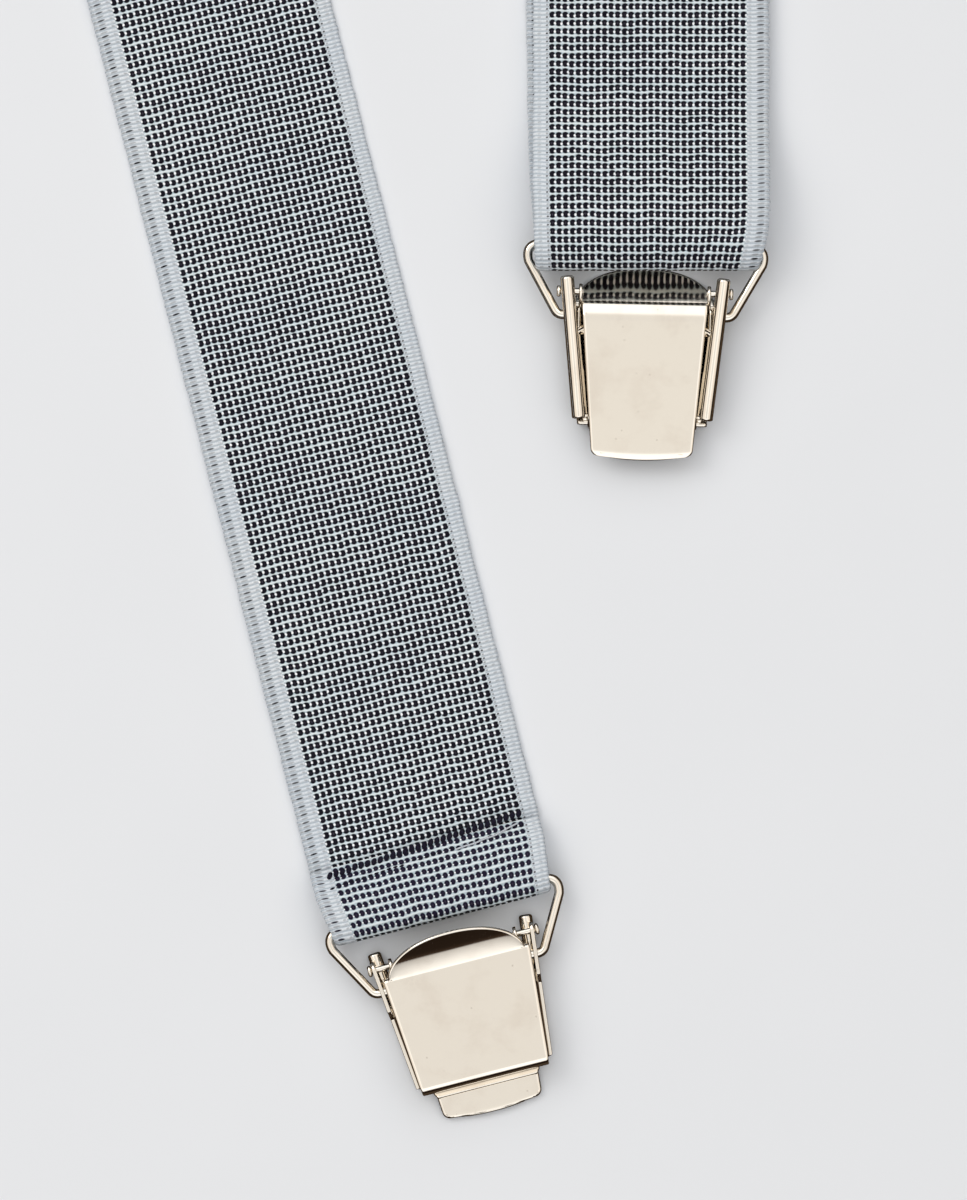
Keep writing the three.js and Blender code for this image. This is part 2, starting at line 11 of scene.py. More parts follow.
import bmesh
import bpy
import numpy as np
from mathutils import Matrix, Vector


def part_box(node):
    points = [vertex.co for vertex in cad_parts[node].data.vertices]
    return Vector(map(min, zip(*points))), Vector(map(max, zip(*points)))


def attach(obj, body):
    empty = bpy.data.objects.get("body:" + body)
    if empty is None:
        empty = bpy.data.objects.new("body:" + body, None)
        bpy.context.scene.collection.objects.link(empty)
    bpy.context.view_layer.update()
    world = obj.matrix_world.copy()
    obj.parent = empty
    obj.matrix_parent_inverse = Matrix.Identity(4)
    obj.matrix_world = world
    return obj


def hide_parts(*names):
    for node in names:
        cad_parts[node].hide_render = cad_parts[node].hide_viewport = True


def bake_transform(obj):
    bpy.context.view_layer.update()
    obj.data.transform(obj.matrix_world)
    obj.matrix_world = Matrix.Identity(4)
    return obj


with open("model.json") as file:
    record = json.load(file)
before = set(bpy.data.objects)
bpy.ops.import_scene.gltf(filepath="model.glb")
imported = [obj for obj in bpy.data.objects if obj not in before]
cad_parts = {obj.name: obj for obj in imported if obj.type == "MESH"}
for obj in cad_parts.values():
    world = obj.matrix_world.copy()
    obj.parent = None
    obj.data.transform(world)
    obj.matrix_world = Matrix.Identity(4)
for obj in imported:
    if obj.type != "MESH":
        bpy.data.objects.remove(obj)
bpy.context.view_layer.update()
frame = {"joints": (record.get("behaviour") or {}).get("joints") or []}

MM = 0.001

# ---- Places, from the frame ---------------------------------------------------------------------

JOINTS = {joint["name"]: joint for joint in frame["joints"]}


def joint_place(name):
    """A hinge's point, in millimetres."""
    return np.array(JOINTS[name]["pos_m"]) / MM


def box_mm(node):
    low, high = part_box(node)
    return np.array(low) / MM, np.array(high) / MM


def unit(vector):
    vector = np.asarray(vector, float)
    return vector / np.linalg.norm(vector)


PIVOT_Y, PIVOT_Z = 3.5, 0.35  # a clip lever's pivot, in the clip's own frame


def clip_axes(prefix):
    """A clip's own frame: its origin and its three axes."""
    hinge = joint_place(f"{prefix}_clip_swing")
    across = unit(JOINTS[f"{prefix}_jaw_open"]["axis"])
    to_pivot = unit(joint_place(f"{prefix}_lever_lift") - hinge)
    beside = np.cross(across, to_pivot)
    lean = math.atan2(PIVOT_Z, PIVOT_Y)
    ahead = to_pivot * math.cos(lean) - beside * math.sin(lean)
    front = to_pivot * math.sin(lean) + beside * math.cos(lean)
    return hinge, across, ahead, front


def axes_matrix(origin, x_axis, y_axis, z_axis):
    matrix = np.eye(4)
    matrix[:3] = np.column_stack([x_axis, y_axis, z_axis, origin])
    return matrix


ROW = np.eye(4)
CLIPS = ("front_right", "front_left", "back")
SIDES = ("right", "left")

# ---- Camera, light and floor --------------------------------------------------------------------

VIEW_HEIGHT = 178.3  # of the surface, from the bottom to the top of the picture
CAMERA_UP = 1100
SENSOR = 36
BAR_IN_VIEW = (24.8, 52.5)  # the right clip's bar, from the middle of the picture


def make_camera():
    bar = joint_place("front_right_loop_swing")
    data = bpy.data.cameras.new("camera")
    data.sensor_width = SENSOR
    data.lens = SENSOR * CAMERA_UP / VIEW_HEIGHT
    data.clip_start = 0.05
    data.clip_end = 20
    camera = bpy.data.objects.new("camera", data)
    camera.location = ((bar[0] - BAR_IN_VIEW[0]) * MM, (bar[1] - BAR_IN_VIEW[1]) * MM, CAMERA_UP * MM)
    bpy.context.scene.collection.objects.link(camera)
    bpy.context.scene.camera = camera
    return camera.location


def area_light(name, target, offset, size, power, colour):
    data = bpy.data.lights.new(name, "AREA")
    data.shape = "RECTANGLE"
    data.size = size
    data.size_y = size
    data.energy = power
    data.color = colour
    light = bpy.data.objects.new(name, data)
    light.location = Vector(target) + Vector(offset)
    light.rotation_euler = (-Vector(offset)).to_track_quat("-Z", "Y").to_euler()
    light.visible_camera = False
    bpy.context.scene.collection.objects.link(light)


class Graph:
    """Builds shader nodes from plain calls. A value is a number, a colour or an output socket."""

    def __init__(self, tree):
        self.tree = tree
        tree.nodes.clear()

    def node(self, kind, inputs=(), **settings):
        made = self.tree.nodes.new(kind)
        for name, value in settings.items():
            setattr(made, name, value)
        for name, value in dict(inputs).items():
            self.put(made.inputs[name], value)
        return made

    def put(self, socket, value):
        if isinstance(value, bpy.types.NodeSocket):
            self.tree.links.new(value, socket)
        elif isinstance(value, (tuple, list)) and socket.type == "RGBA":
            socket.default_value = (*value[:3], 1)
        else:
            socket.default_value = value

    def maths(self, operation, *values):
        made = self.node("ShaderNodeMath", operation=operation)
        for socket, value in zip(made.inputs, values):
            self.put(socket, value)
        return made.outputs[0]

    def add(self, *values):
        total = values[0]
        for value in values[1:]:
            total = self.maths("ADD", total, value)
        return total

    def times(self, *values):
        total = values[0]
        for value in values[1:]:
            total = self.maths("MULTIPLY", total, value)
        return total

    def minus(self, a, b):
        return self.maths("SUBTRACT", a, b)

    def smooth(self, value, low, high, to_low=0.0, to_high=1.0):
        made = self.node("ShaderNodeMapRange", interpolation_type="SMOOTHSTEP")
        names = ("Value", "From Min", "From Max", "To Min", "To Max")
        for name, given in zip(names, (value, low, high, to_low, to_high)):
            self.put(made.inputs[name], given)
        return made.outputs["Result"]

    def mix(self, share, a, b, blend_type="MIX"):
        made = self.node("ShaderNodeMix", data_type="RGBA", blend_type=blend_type)
        self.put(made.inputs[0], share)
        self.put(made.inputs[6], a)
        self.put(made.inputs[7], b)
        return made.outputs[2]

    def vector(self, x, y, z=0.0):
        return self.node("ShaderNodeCombineXYZ", {"X": x, "Y": y, "Z": z}).outputs[0]

    def noise(self, vector, scale, detail=2.0, roughness=0.5):
        inputs = {"Vector": vector, "Scale": scale, "Detail": detail, "Roughness": roughness}
        return self.node("ShaderNodeTexNoise", inputs).outputs["Fac"]

    def object_place(self):
        return self.node("ShaderNodeTexCoord").outputs["Object"]

    def stretched(self, vector, scale):
        return self.node("ShaderNodeMapping", {"Vector": vector, "Scale": scale}).outputs[0]

    def ramp(self, value, stops):
        made = self.node("ShaderNodeValToRGB", {"Fac": value})
        elements = made.color_ramp.elements
        while len(elements) < len(stops):
            elements.new(0.5)
        for element, (place, colour) in zip(elements, stops):
            element.position = place
            element.color = (*colour, 1)
        return made.outputs["Color"]

    def bump(self, height, distance, strength=1.0):
        inputs = {"Height": height, "Distance": distance, "Strength": strength}
        return self.node("ShaderNodeBump", inputs).outputs[0]

    def finish(self, shader):
        self.node("ShaderNodeOutputMaterial", {"Surface": shader})


def make_world():
    """A soft studio: a beige ceiling straight above, a bright ring of softboxes round it, and darkness low
    down, which reaches higher at the front and the sides. Both sides are dimmer and browner."""
    world = bpy.data.worlds.new("studio")
    world.use_nodes = True
    graph = Graph(world.node_tree)
    direction = graph.node("ShaderNodeTexCoord").outputs["Generated"]
    parts = graph.node("ShaderNodeSeparateXYZ", {"Vector": direction})
    front = graph.smooth(graph.times(parts.outputs["Y"], -1.0), 0.25, 0.80)
    aside = graph.smooth(graph.maths("ABSOLUTE", parts.outputs["X"]), 0.2, 0.6)
    height = graph.minus(parts.outputs["Z"], graph.add(graph.times(front, 0.27), graph.times(aside, 0.10)))
    colour = graph.ramp(
        height,
        [
            (0.0, (0.015, 0.009, 0.006)),
            (0.25, (0.06, 0.038, 0.025)),
            (0.34, (1.45, 1.44, 1.43)),
            (0.60, (1.65, 1.65, 1.66)),
            (0.92, (1.60, 1.60, 1.60)),
            (0.975, (1.11, 1.09, 1.05)),
            (1.0, (1.07, 1.05, 1.02)),
        ],
    )
    colour = graph.mix(aside, colour, (0.74, 0.69, 0.63), "MULTIPLY")
    background = graph.node("ShaderNodeBackground", {"Color": colour, "Strength": 0.86})
    graph.node("ShaderNodeOutputWorld", {"Surface": background.outputs[0]})
    bpy.context.scene.world = world


def make_floor(centre):
    """A plain pale table. Glossy rays see it as nearly black, a painted dark reflection that stands in for
    shade on the metal's sides and in its gaps:
    this is a choice made for the metal's look, not the way that real paper behaves."""
    half = 4.0
    corners = [(-half, -half), (half, -half), (half, half), (-half, half)]
    data = bpy.data.meshes.new("floor")
    data.from_pydata([(centre[0] + x, centre[1] + y, -0.03 * MM) for x, y in corners], [], [(0, 1, 2, 3)])
    floor = bpy.data.objects.new("floor", data)
    bpy.context.scene.collection.objects.link(floor)
    material = bpy.data.materials.new("floor_paper")
    material.use_nodes = True
    graph = Graph(material.node_tree)
    glossy = graph.node("ShaderNodeLightPath").outputs["Is Glossy Ray"]
    grain = graph.noise(graph.object_place(), 30.0, 3.0)
    pale = graph.mix(grain, (0.722, 0.750, 0.790), (0.742, 0.770, 0.810))
    # painted dark reflection: glossy rays see the table nearly black
    colour = graph.mix(glossy, pale, (0.06, 0.042, 0.028))
    graph.finish(graph.node("ShaderNodeBsdfDiffuse", {"Color": colour}).outputs[0])
    data.materials.append(material)


centre = make_camera()
make_world()
make_floor(centre)
WARM = (1.0, 0.97, 0.93)
area_light("key", (centre[0], centre[1], 0), (-0.9, 0.7, 1.1), 0.8, 6, WARM)
bpy.context.scene.view_settings.view_transform = "Standard"

# ---- Materials ----------------------------------------------------------------------------------

ROW_PITCH = 1.216  # of the weave, along the strap
COLUMN_PITCH = 0.978
DOTS_FROM, COLUMNS = 2.4, 30
STRAP_HALF = 17.5
STRAP_THICK = 1.2


def new_material(name):
    material = bpy.data.materials.new(name)
    material.use_nodes = True
    return material, Graph(material.node_tree)


def oval(graph, a, b, wide, high):
    """Distance from a cell's middle, as 1 on an oval's edge."""
    x = graph.maths("DIVIDE", a, wide)
    y = graph.maths("DIVIDE", b, high)
    return graph.maths("SQRT", graph.add(graph.times(x, x), graph.times(y, y)))


def webbing_material(name, dot, glint, ink):
    """Elastic webbing: navy dots in a pale ground, each with a white float on one side, between two
    ribbed selvedges. The UV map is the distance across and along the strap, in metres."""
    material, g = new_material(name)
    uv = g.node("ShaderNodeSeparateXYZ", {"Vector": g.node("ShaderNodeUVMap", uv_map="UVMap").outputs[0]})
    across = g.times(uv.outputs["X"], 1000.0)
    along = g.times(uv.outputs["Y"], 1000.0)
    drift = g.noise(g.vector(g.times(across, 0.05), g.times(along, 0.11)), 1.0, 2.0)
    wander = g.minus(g.noise(g.vector(g.times(across, 0.25), g.times(along, 0.05)), 1.0, 1.0), 0.5)
    column = g.maths("DIVIDE", g.minus(across, DOTS_FROM), COLUMN_PITCH)
    row = g.add(g.maths("DIVIDE", along, ROW_PITCH), g.times(wander, 0.35))
    cell = g.vector(g.maths("FLOOR", column), g.maths("FLOOR", row))
    random = g.node("ShaderNodeTexWhiteNoise", {"Vector": cell}, noise_dimensions="3D")
    chance = g.node("ShaderNodeSeparateColor", {"Color": random.outputs["Color"]})
    shift_a = g.times(g.minus(chance.outputs[0], 0.5), 0.12)
    shift_b = g.times(g.minus(chance.outputs[1], 0.5), 0.10)
    a = g.add(g.minus(g.maths("FRACT", column), 0.5), shift_a)
    b = g.add(g.minus(g.maths("FRACT", row), 0.5), shift_b)
    size = g.add(0.90, g.times(chance.outputs[2], 0.12), g.times(drift, 0.20))

    disc = g.maths("DIVIDE", oval(g, g.add(a, 0.03), b, dot[0], dot[1]), size)
    dark = g.smooth(disc, 0.80, 1.12, 1.0, 0.0)
    side = g.minus(g.maths("FRACT", g.minus(column, 0.40)), 0.5)
    float_place = oval(g, side, g.minus(b, 0.07), glint[0], glint[1])
    bright = g.smooth(float_place, 0.70, 1.20, 1.0, 0.0)
    dots_end = DOTS_FROM + COLUMNS * COLUMN_PITCH
    inside = g.times(
        g.smooth(across, DOTS_FROM - 0.05, DOTS_FROM + 0.05),
        g.smooth(across, dots_end - 0.05, dots_end + 0.05, 1.0, 0.0),
    )
    dark = g.times(dark, g.minus(1.0, bright), inside)
    # painted sheen: a paler, purple-grey spot in the middle of some dots
    painted_sheen = g.times(g.smooth(disc, 0.0, 0.55, 1.0, 0.0), chance.outputs[0], 0.8)

    # ground: white crests between the rows, as a painted highlight, and pale blue in the hollows beside the
    # dots, as painted shade
    crest = g.smooth(g.maths("ABSOLUTE", b), 0.30, 0.48)
    fibre = g.noise(g.vector(g.times(across, 7.0), g.times(along, 2.6)), 1.0, 3.0, 0.7)
    ground = g.mix(crest, (0.44, 0.53, 0.58), (0.72, 0.79, 0.82))
    ground = g.mix(g.times(bright, inside), ground, (0.97, 0.98, 1.0))
    ground = g.mix(g.smooth(fibre, 0.35, 0.75), ground, (0.93, 0.94, 0.97), "MULTIPLY")

    # selvedges: two fine ribs to each row, with painted shade in the grooves between them, and short dark
    # ends of the weft showing
    half_row = g.times(row, 2.0)
    rib = g.minus(g.maths("FRACT", half_row), 0.5)
    rib_chance = g.node("ShaderNodeTexWhiteNoise", {"W": g.maths("FLOOR", half_row)}, noise_dimensions="1D")
    rib_shade = g.smooth(g.maths("ABSOLUTE", rib), 0.15, 0.5)
    odd = g.times(g.maths("FRACT", g.times(g.maths("FLOOR", half_row), 0.5)), 2.0)
    dash_strength = g.add(0.35, g.times(odd, 0.45), g.times(rib_chance.outputs["Value"], 0.20))
    selvedge = g.mix(rib_shade, (0.76, 0.80, 0.83), (0.46, 0.52, 0.57))
    selvedge = g.mix(g.smooth(fibre, 0.30, 0.70), selvedge, (0.84, 0.86, 0.90), "MULTIPLY")
    ink_share = dark
    for place, reach, slant, strength in (
        (DOTS_FROM - 0.30, 0.20, 0.0, 0.95),
        (DOTS_FROM - 1.45, 0.34, 0.2, 0.30),
        (dots_end + 0.45, 0.30, -0.3, 0.35),
        (dots_end + 2.05, 0.66, 0.10, 1.00),
        (2 * STRAP_HALF - 0.35, 0.34, 0.0, 0.45),
    ):
        away = g.minus(across, place)
        slanted = g.minus(g.maths("FRACT", g.add(half_row, g.times(away, slant))), 0.5)
        mark = g.smooth(oval(g, away, slanted, reach, 0.26), 0.6, 1.15, strength, 0.0)
        mark = g.times(mark, dash_strength)
        ink_share = g.maths("MAXIMUM", ink_share, mark)

    pale = g.mix(inside, selvedge, ground)
    navy = g.mix(painted_sheen, ink, (0.050, 0.043, 0.062))
    colour = g.mix(ink_share, pale, navy)
    tone = g.smooth(drift, 0.2, 0.8)
    colour = g.mix(tone, colour, (0.93, 0.95, 0.98), "MULTIPLY")

    humps = g.times(g.smooth(disc, 0.2, 1.1, 1.0, 0.0), 0.8)
    relief_dots = g.times(inside, g.add(humps, g.times(bright, 0.9)))
    relief_ribs = g.times(g.smooth(g.maths("ABSOLUTE", rib), 0.0, 0.5, 1.0, 0.0), g.minus(1.0, inside))
    relief = g.add(relief_dots, g.times(crest, inside, 0.5))
    relief = g.add(relief, g.times(relief_ribs, 0.8), g.times(fibre, 0.35))
    shader = g.node(
        "ShaderNodeBsdfPrincipled",
        {
            "Base Color": colour,
            "Roughness": g.add(0.62, g.times(fibre, 0.3)),
            "Sheen Weight": 0.04,
            "Sheen Roughness": 0.5,
            "Specular IOR Level": 0.10,
            "Normal": g.bump(relief, 0.00014, 0.9),
        },
    )
    g.finish(shader.outputs[0])
    return material


def metal_material(name, colour, worn, roughness, along_scale):
    """Bright plating: faint drawn lines, soft waves in the sheet, a few pin pricks and dull patches."""
    material, g = new_material(name)
    place = g.object_place()
    lines = g.noise(g.stretched(place, along_scale), 1.0, 3.0, 0.6)
    patches = g.noise(place, 160.0, 4.0, 0.6)
    pricks = g.node("ShaderNodeTexVoronoi", {"Vector": place, "Scale": 420.0}).outputs["Distance"]
    prick = g.smooth(pricks, 0.02, 0.10, 1.0, 0.0)
    dull = g.smooth(patches, 0.45, 0.75)
    tone = g.mix(dull, colour, worn)
    tone = g.mix(g.times(prick, 0.35), tone, (0.40, 0.34, 0.27))
    gloss = g.add(roughness, g.times(dull, 0.05), g.times(lines, 0.05), g.times(prick, 0.15))
    waves = g.noise(place, 90.0, 1.0)
    height = g.add(waves, g.times(lines, 0.012), g.times(prick, -0.02))
    shader = g.node(
        "ShaderNodeBsdfPrincipled",
        {"Base Color": tone, "Metallic": 1.0, "Roughness": gloss, "Normal": g.bump(height, 0.00006, 0.5)},
    )
    g.finish(shader.outputs[0])
    return material


def leather_material(name):
    """Smooth dark blue leather: pebbled grain, creases, and paler, rubbed patches."""
    material, g = new_material(name)
    place = g.object_place()
    bent = g.node("ShaderNodeTexNoise", {"Vector": place, "Scale": 260.0})
    warped = g.mix(0.12, place, bent.outputs["Color"])
    cells = g.node("ShaderNodeTexVoronoi", {"Vector": warped, "Scale": 900.0}, feature="DISTANCE_TO_EDGE")
    pebble = g.smooth(cells.outputs["Distance"], 0.0, 0.22)
    creases = g.noise(g.stretched(place, (70, 240, 70)), 1.0, 4.0, 0.65)
    cloudy = g.noise(place, 45.0, 3.0)
    tone = g.mix(pebble, (0.006, 0.008, 0.016), (0.016, 0.022, 0.042))
    tone = g.mix(g.smooth(cloudy, 0.4, 0.8, 0.0, 0.6), tone, (0.030, 0.038, 0.062))
    height = g.add(pebble, g.times(g.smooth(creases, 0.42, 0.60), 0.7))
    shader = g.node(
        "ShaderNodeBsdfPrincipled",
        {
            "Base Color": tone,
            "Roughness": g.add(0.40, g.times(cloudy, 0.18)),
            "Coat Weight": 0.12,
            "Coat Roughness": 0.35,
            "Normal": g.bump(height, 0.00008, 0.7),
        },
    )
    g.finish(shader.outputs[0])
    return material


def thread_material(name, colour, shade):
    """Twisted sewing thread, darker between its turns as painted shade."""
    material, g = new_material(name)
    place = g.object_place()
    turns = {"Vector": place, "Scale": 1500.0, "Distortion": 2.0}
    twist = g.node("ShaderNodeTexWave", turns, bands_direction="DIAGONAL")
    fibre = g.noise(place, 5000.0, 2.0)
    # painted shade: the thread takes the shade colour between the twist's turns
    tone = g.mix(g.times(twist.outputs["Fac"], fibre), shade, colour)
    shader = g.node(
        "ShaderNodeBsdfPrincipled",
        {
            "Base Color": tone,
            "Roughness": g.add(0.55, g.times(fibre, 0.3)),
            "Sheen Weight": 0.03,
            "Specular IOR Level": 0.15,
            "Normal": g.bump(twist.outputs["Fac"], 0.00005, 0.8),
        },
    )
    g.finish(shader.outputs[0])
    return material


NAVY = (0.0030, 0.0026, 0.008)
WEBBING = webbing_material("webbing", (0.49, 0.41), (0.20, 0.19), NAVY)
WEBBING_TAIL = webbing_material("webbing_tail", (0.42, 0.37), (0.14, 0.11), (0.009, 0.006, 0.022))
NICKEL = metal_material("nickel", (0.86, 0.80, 0.71), (0.80, 0.73, 0.64), 0.04, (300, 60, 300))
WIRE_PLATE = metal_material("wire_plate", (0.82, 0.77, 0.69), (0.70, 0.64, 0.56), 0.10, (900, 900, 900))
LEATHER = leather_material("leather")
PALE_THREAD = thread_material("pale_thread", (0.78, 0.80, 0.84), (0.42, 0.45, 0.52))
NAVY_THREAD = thread_material("navy_thread", (0.014, 0.010, 0.036), (0.003, 0.002, 0.008))

# ---- Mesh helpers -------------------------------------------------------------------------------


def make_piece(name, points, faces, materials, matrix=ROW, uvs=None, face_materials=None):
    """A mesh object from points in millimetres in matrix's frame."""
    points = np.asarray(points, float)
    placed = (points @ matrix[:3, :3].T + matrix[:3, 3]) * MM
    data = bpy.data.meshes.new(name)
    data.from_pydata(placed.tolist(), [], [list(map(int, face)) for face in faces])
    for material in materials:
        data.materials.append(material)
    if uvs is not None:
        layer = data.uv_layers.new(name="UVMap")
        loops = np.concatenate([np.asarray(face) for face in uvs]) * MM
        layer.data.foreach_set("uv", loops.astype(np.float32).ravel())
    if face_materials is not None:
        data.polygons.foreach_set("material_index", np.asarray(face_materials, np.int32))
    data.validate()
    data.shade_smooth()
    piece = bpy.data.objects.new(name, data)
    bpy.context.scene.collection.objects.link(piece)
    return piece


def soften(piece, width, segments=2):
    """Rounds a piece's edges of more than 35 degrees, by a modifier."""
    bevel = piece.modifiers.new("rounded_edges", "BEVEL")
    bevel.width = width * MM
    bevel.segments = segments
    bevel.limit_method = "ANGLE"
    bevel.angle_limit = math.radians(35)
    bevel.harden_normals = True
    return piece


def fuse(name, parts):
    """One object from several, with their modifiers applied."""
    depsgraph = bpy.context.evaluated_depsgraph_get()
    made = bmesh.new()
    materials = []
    for part in parts:
        evaluated = bpy.data.meshes.new_from_object(part.evaluated_get(depsgraph), depsgraph=depsgraph)
        first = len(made.faces)
        made.from_mesh(evaluated)
        made.faces.ensure_lookup_table()
        for material in evaluated.materials:
            if material not in materials:
                materials.append(material)
        for face in made.faces[first:]:
            face.material_index = materials.index(evaluated.materials[face.material_index])
        bpy.data.meshes.remove(evaluated)
    for part in parts:
        bpy.data.meshes.remove(part.data)
    data = bpy.data.meshes.new(name)
    made.to_mesh(data)
    made.free()
    for material in materials:
        data.materials.append(material)
    data.shade_smooth()
    data.set_sharp_from_angle(angle=math.radians(50))
    piece = bpy.data.objects.new(name, data)
    bpy.context.scene.collection.objects.link(piece)
    even = piece.modifiers.new("even_faces", "WEIGHTED_NORMAL")
    even.keep_sharp = True
    return piece


def sweep(rings):
    """Faces that join a row of rings, each of the same number of points, with a face on both ends."""
    rows, sides = len(rings), len(rings[0])
    faces = []
    for i in range(rows - 1):
        for j in range(sides):
            k = (j + 1) % sides
            faces.append((i * sides + j, i * sides + k, (i + 1) * sides + k, (i + 1) * sides + j))
    faces.append(tuple(range(sides - 1, -1, -1)))
    faces.append(tuple((rows - 1) * sides + j for j in range(sides)))
    return faces


def tube(name, path, radius, material, matrix=ROW, sides=14):
    """A round bar along a path. radius may be one number or one for each point."""
    path = np.asarray(path, float)
    radii = np.broadcast_to(np.asarray(radius, float), len(path))
    ahead = np.gradient(path, axis=0)
    ahead /= np.linalg.norm(ahead, axis=1)[:, None]
    first = np.cross(ahead[0], (0.0, 0.0, 1.0))
    side = unit(first) if np.linalg.norm(first) > 0.1 else np.array((1.0, 0.0, 0.0))
    turn = np.linspace(0, 2 * math.pi, sides, endpoint=False)
    rings = []
    for point, way, thick in zip(path, ahead, radii):
        side = unit(side - way * (side @ way))
        up = np.cross(way, side)
        rings.append(point + thick * (np.cos(turn)[:, None] * side + np.sin(turn)[:, None] * up))
    return make_piece(name, np.concatenate(rings), sweep(rings), [material], matrix)


def rod(name, start, end, radius, material, matrix=ROW, soft=0.3, sides=32):
    """A straight bar with rounded ends."""
    start, end = np.asarray(start, float), np.asarray(end, float)
    length = np.linalg.norm(end - start)
    corner = np.radians(np.linspace(0, 90, 6))
    inset = soft * (1 - np.cos(corner))
    widths = radius - soft + soft * np.sin(corner)
    places = np.concatenate([inset, length - inset[::-1]])
    path = start + np.outer(places / length, end - start)
    return tube(name, path, np.concatenate([widths, widths[::-1]]), material, matrix, sides)


def slab(name, outline, low, high, material, matrix=ROW, plane="xy"):
    """A flat plate: an outline in the x-y or y-z plane, with its thickness from low to high."""
    count = len(outline)
    points = []
    for level in (low, high):
        for a, b in outline:
            points.append((a, b, level) if plane == "xy" else (level, a, b))
    faces = [tuple(range(count - 1, -1, -1)), tuple(range(count, 2 * count))]
    for i in range(count):
        k = (i + 1) % count
        faces.append((i, k, count + k, count + i))
    return make_piece(name, points, faces, [material], matrix)


SHEET = 0.6  # the pressed metal's thickness
SHEET_EDGE = 0.2  # and the radius of its edges


def pressed_sheet(name, path, sides, shape, matrix):
    """Pressed nickel sheet with rounded edges. path is its side view as rows of y and z, sides its places
    across from 1 to -1, and shape(side, y, z) gives its outer face."""
    path = np.asarray(path, float)
    side, y = np.meshgrid(sides, path[:, 0])
    z = np.repeat(path[:, 1:2], len(sides), 1)
    face = np.stack(shape(side, y, z), -1)
    normal = np.cross(np.gradient(face, axis=1), np.gradient(face, axis=0))
    normal /= np.linalg.norm(normal, axis=2)[..., None]
    rows, columns = side.shape
    index = np.arange(rows * columns).reshape(rows, columns)
    rim = np.concatenate([index[0, :-1], index[:-1, -1], index[-1, :0:-1], index[:0:-1, 0]])
    outer, normals = face.reshape(-1, 3), normal.reshape(-1, 3)
    edge, up = outer[rim], normals[rim]
    out = np.cross(np.roll(edge, -1, 0) - np.roll(edge, 1, 0), up)
    out /= np.linalg.norm(out, axis=1)[:, None]
    rings = []
    for degrees in (60, 30, 0, 0, -30, -60):
        depth = SHEET_EDGE if len(rings) < 3 else SHEET - SHEET_EDGE
        angle = math.radians(degrees)
        rings.append(edge - up * depth + SHEET_EDGE * (math.sin(angle) * up + math.cos(angle) * out))
    count = rows * columns
    points = np.concatenate([outer, *rings, outer - normals * SHEET])
    last = count + len(rings) * len(rim)
    quads = np.stack([index[:-1, :-1], index[:-1, 1:], index[1:, 1:], index[1:, :-1]], -1).reshape(-1, 4)
    faces = [*quads, *(quads[:, ::-1] + last)]
    levels = [rim] + [count + k * len(rim) + np.arange(len(rim)) for k in range(len(rings))] + [rim + last]
    for above, below in zip(levels, levels[1:]):
        faces.extend(np.stack([above, below, np.roll(below, -1), np.roll(above, -1)], -1))
    return make_piece(name, points, faces, [NICKEL], matrix)


def denser_ends(count, ends=0.06):
    """Places from 1 to -1, closer together at both ends."""
    middle = np.linspace(1 - ends, -1 + ends, count)
    near = np.array((1.0, 1 - ends * 0.33, 1 - ends * 0.66))
    return np.concatenate([near, middle, -near[::-1]])


def ease(value, low, high):
    t = np.clip((value - low) / (high - low), 0, 1)
    return t * t * (3 - 2 * t)


# ---- Clips --------------------------------------------------------------------------------------

TAPER = 0.1047  # each side leans in towards the clip's bottom
CLIP_TOP, CLIP_BOTTOM = 5.8, -15.3
HALF_AT_HINGE = 12.0
RAIL = 1.00
RAIL_TOP = 2.95
WIRE_RADIUS, WIRE_REACH = 0.7, 10.5
CLIP_ASIDE = {"front_right": -0.75, "front_left": 0.3, "back": -0.3}


def clip_half(y):
    return HALF_AT_HINGE + y * TAPER


def arc(centre, radius, start, end, count):
    """Points on an arc, with its angles in degrees."""
    return [
        (centre[0] + radius * math.cos(math.radians(a)), centre[1] + radius * math.sin(math.radians(a)))
        for a in np.linspace(start, end, count)
    ]


def clip_lever(prefix, matrix):
    """The snap lever: a flat tongue, its top rolled gently and then bent sharply over into its cam."""
    tip, front, top = -20.7, 2.65, 2.1
    gentle, sharp, turn = 4.4, 0.75, 33
    lean = math.radians(turn)
    roll_from = top - sharp * (1 - math.sin(lean)) - gentle * math.sin(lean)
    apart = gentle - sharp
    sharp_centre = (roll_from + apart * math.sin(lean), front - gentle + apart * math.cos(lean))
    path = [(top, -0.75), (top, 0.3), (top, sharp_centre[1] - 0.1)]
    path += arc(sharp_centre, sharp, 0, 90 - turn, 10)
    path += arc((roll_from, front - gentle), gentle, 90 - turn, 90, 12)[1:]
    path += [(y, front) for y in np.linspace(roll_from - 0.8, tip + 1.3, 24)]
    for angle in np.radians(range(0, 91, 10)):
        path.append((tip + 1.05 * (1 - math.sin(angle)), front - 0.12 * math.sin(angle) ** 2))

    def shape(side, y, z):
        half = 9.15 + (y - 2) * 0.079
        close = np.clip((tip + 1.05 - y) / 1.05, 0, 1)
        half = half - 1.05 * (1 - np.sqrt(1 - close**2))
        face = ease(z, front - 2.2, front - 0.4)
        crown = 0.05 * side**2 + 0.05 * ease(np.abs(side), 0.98, 1.0)
        bow = 0.4 * (1 - side**2) * (1 - ease(y, tip, tip + 5))
        return side * half, y - bow, z - crown * face

    parts = [pressed_sheet("tongue", path, denser_ends(27), shape, matrix)]
    for side in (-1, 1):
        outline = [(1.2, 1.0), (1.9, -0.8)] + arc((PIVOT_Y, PIVOT_Z), 1.15, -115, 95, 14)
        inner, outer = sorted((side * 9.75, side * 9.25))
        parts.append(soften(slab("ear", outline, inner, outer, NICKEL, matrix, "yz"), 0.12))
    return fuse(f"{prefix}_lever_tongue", parts)


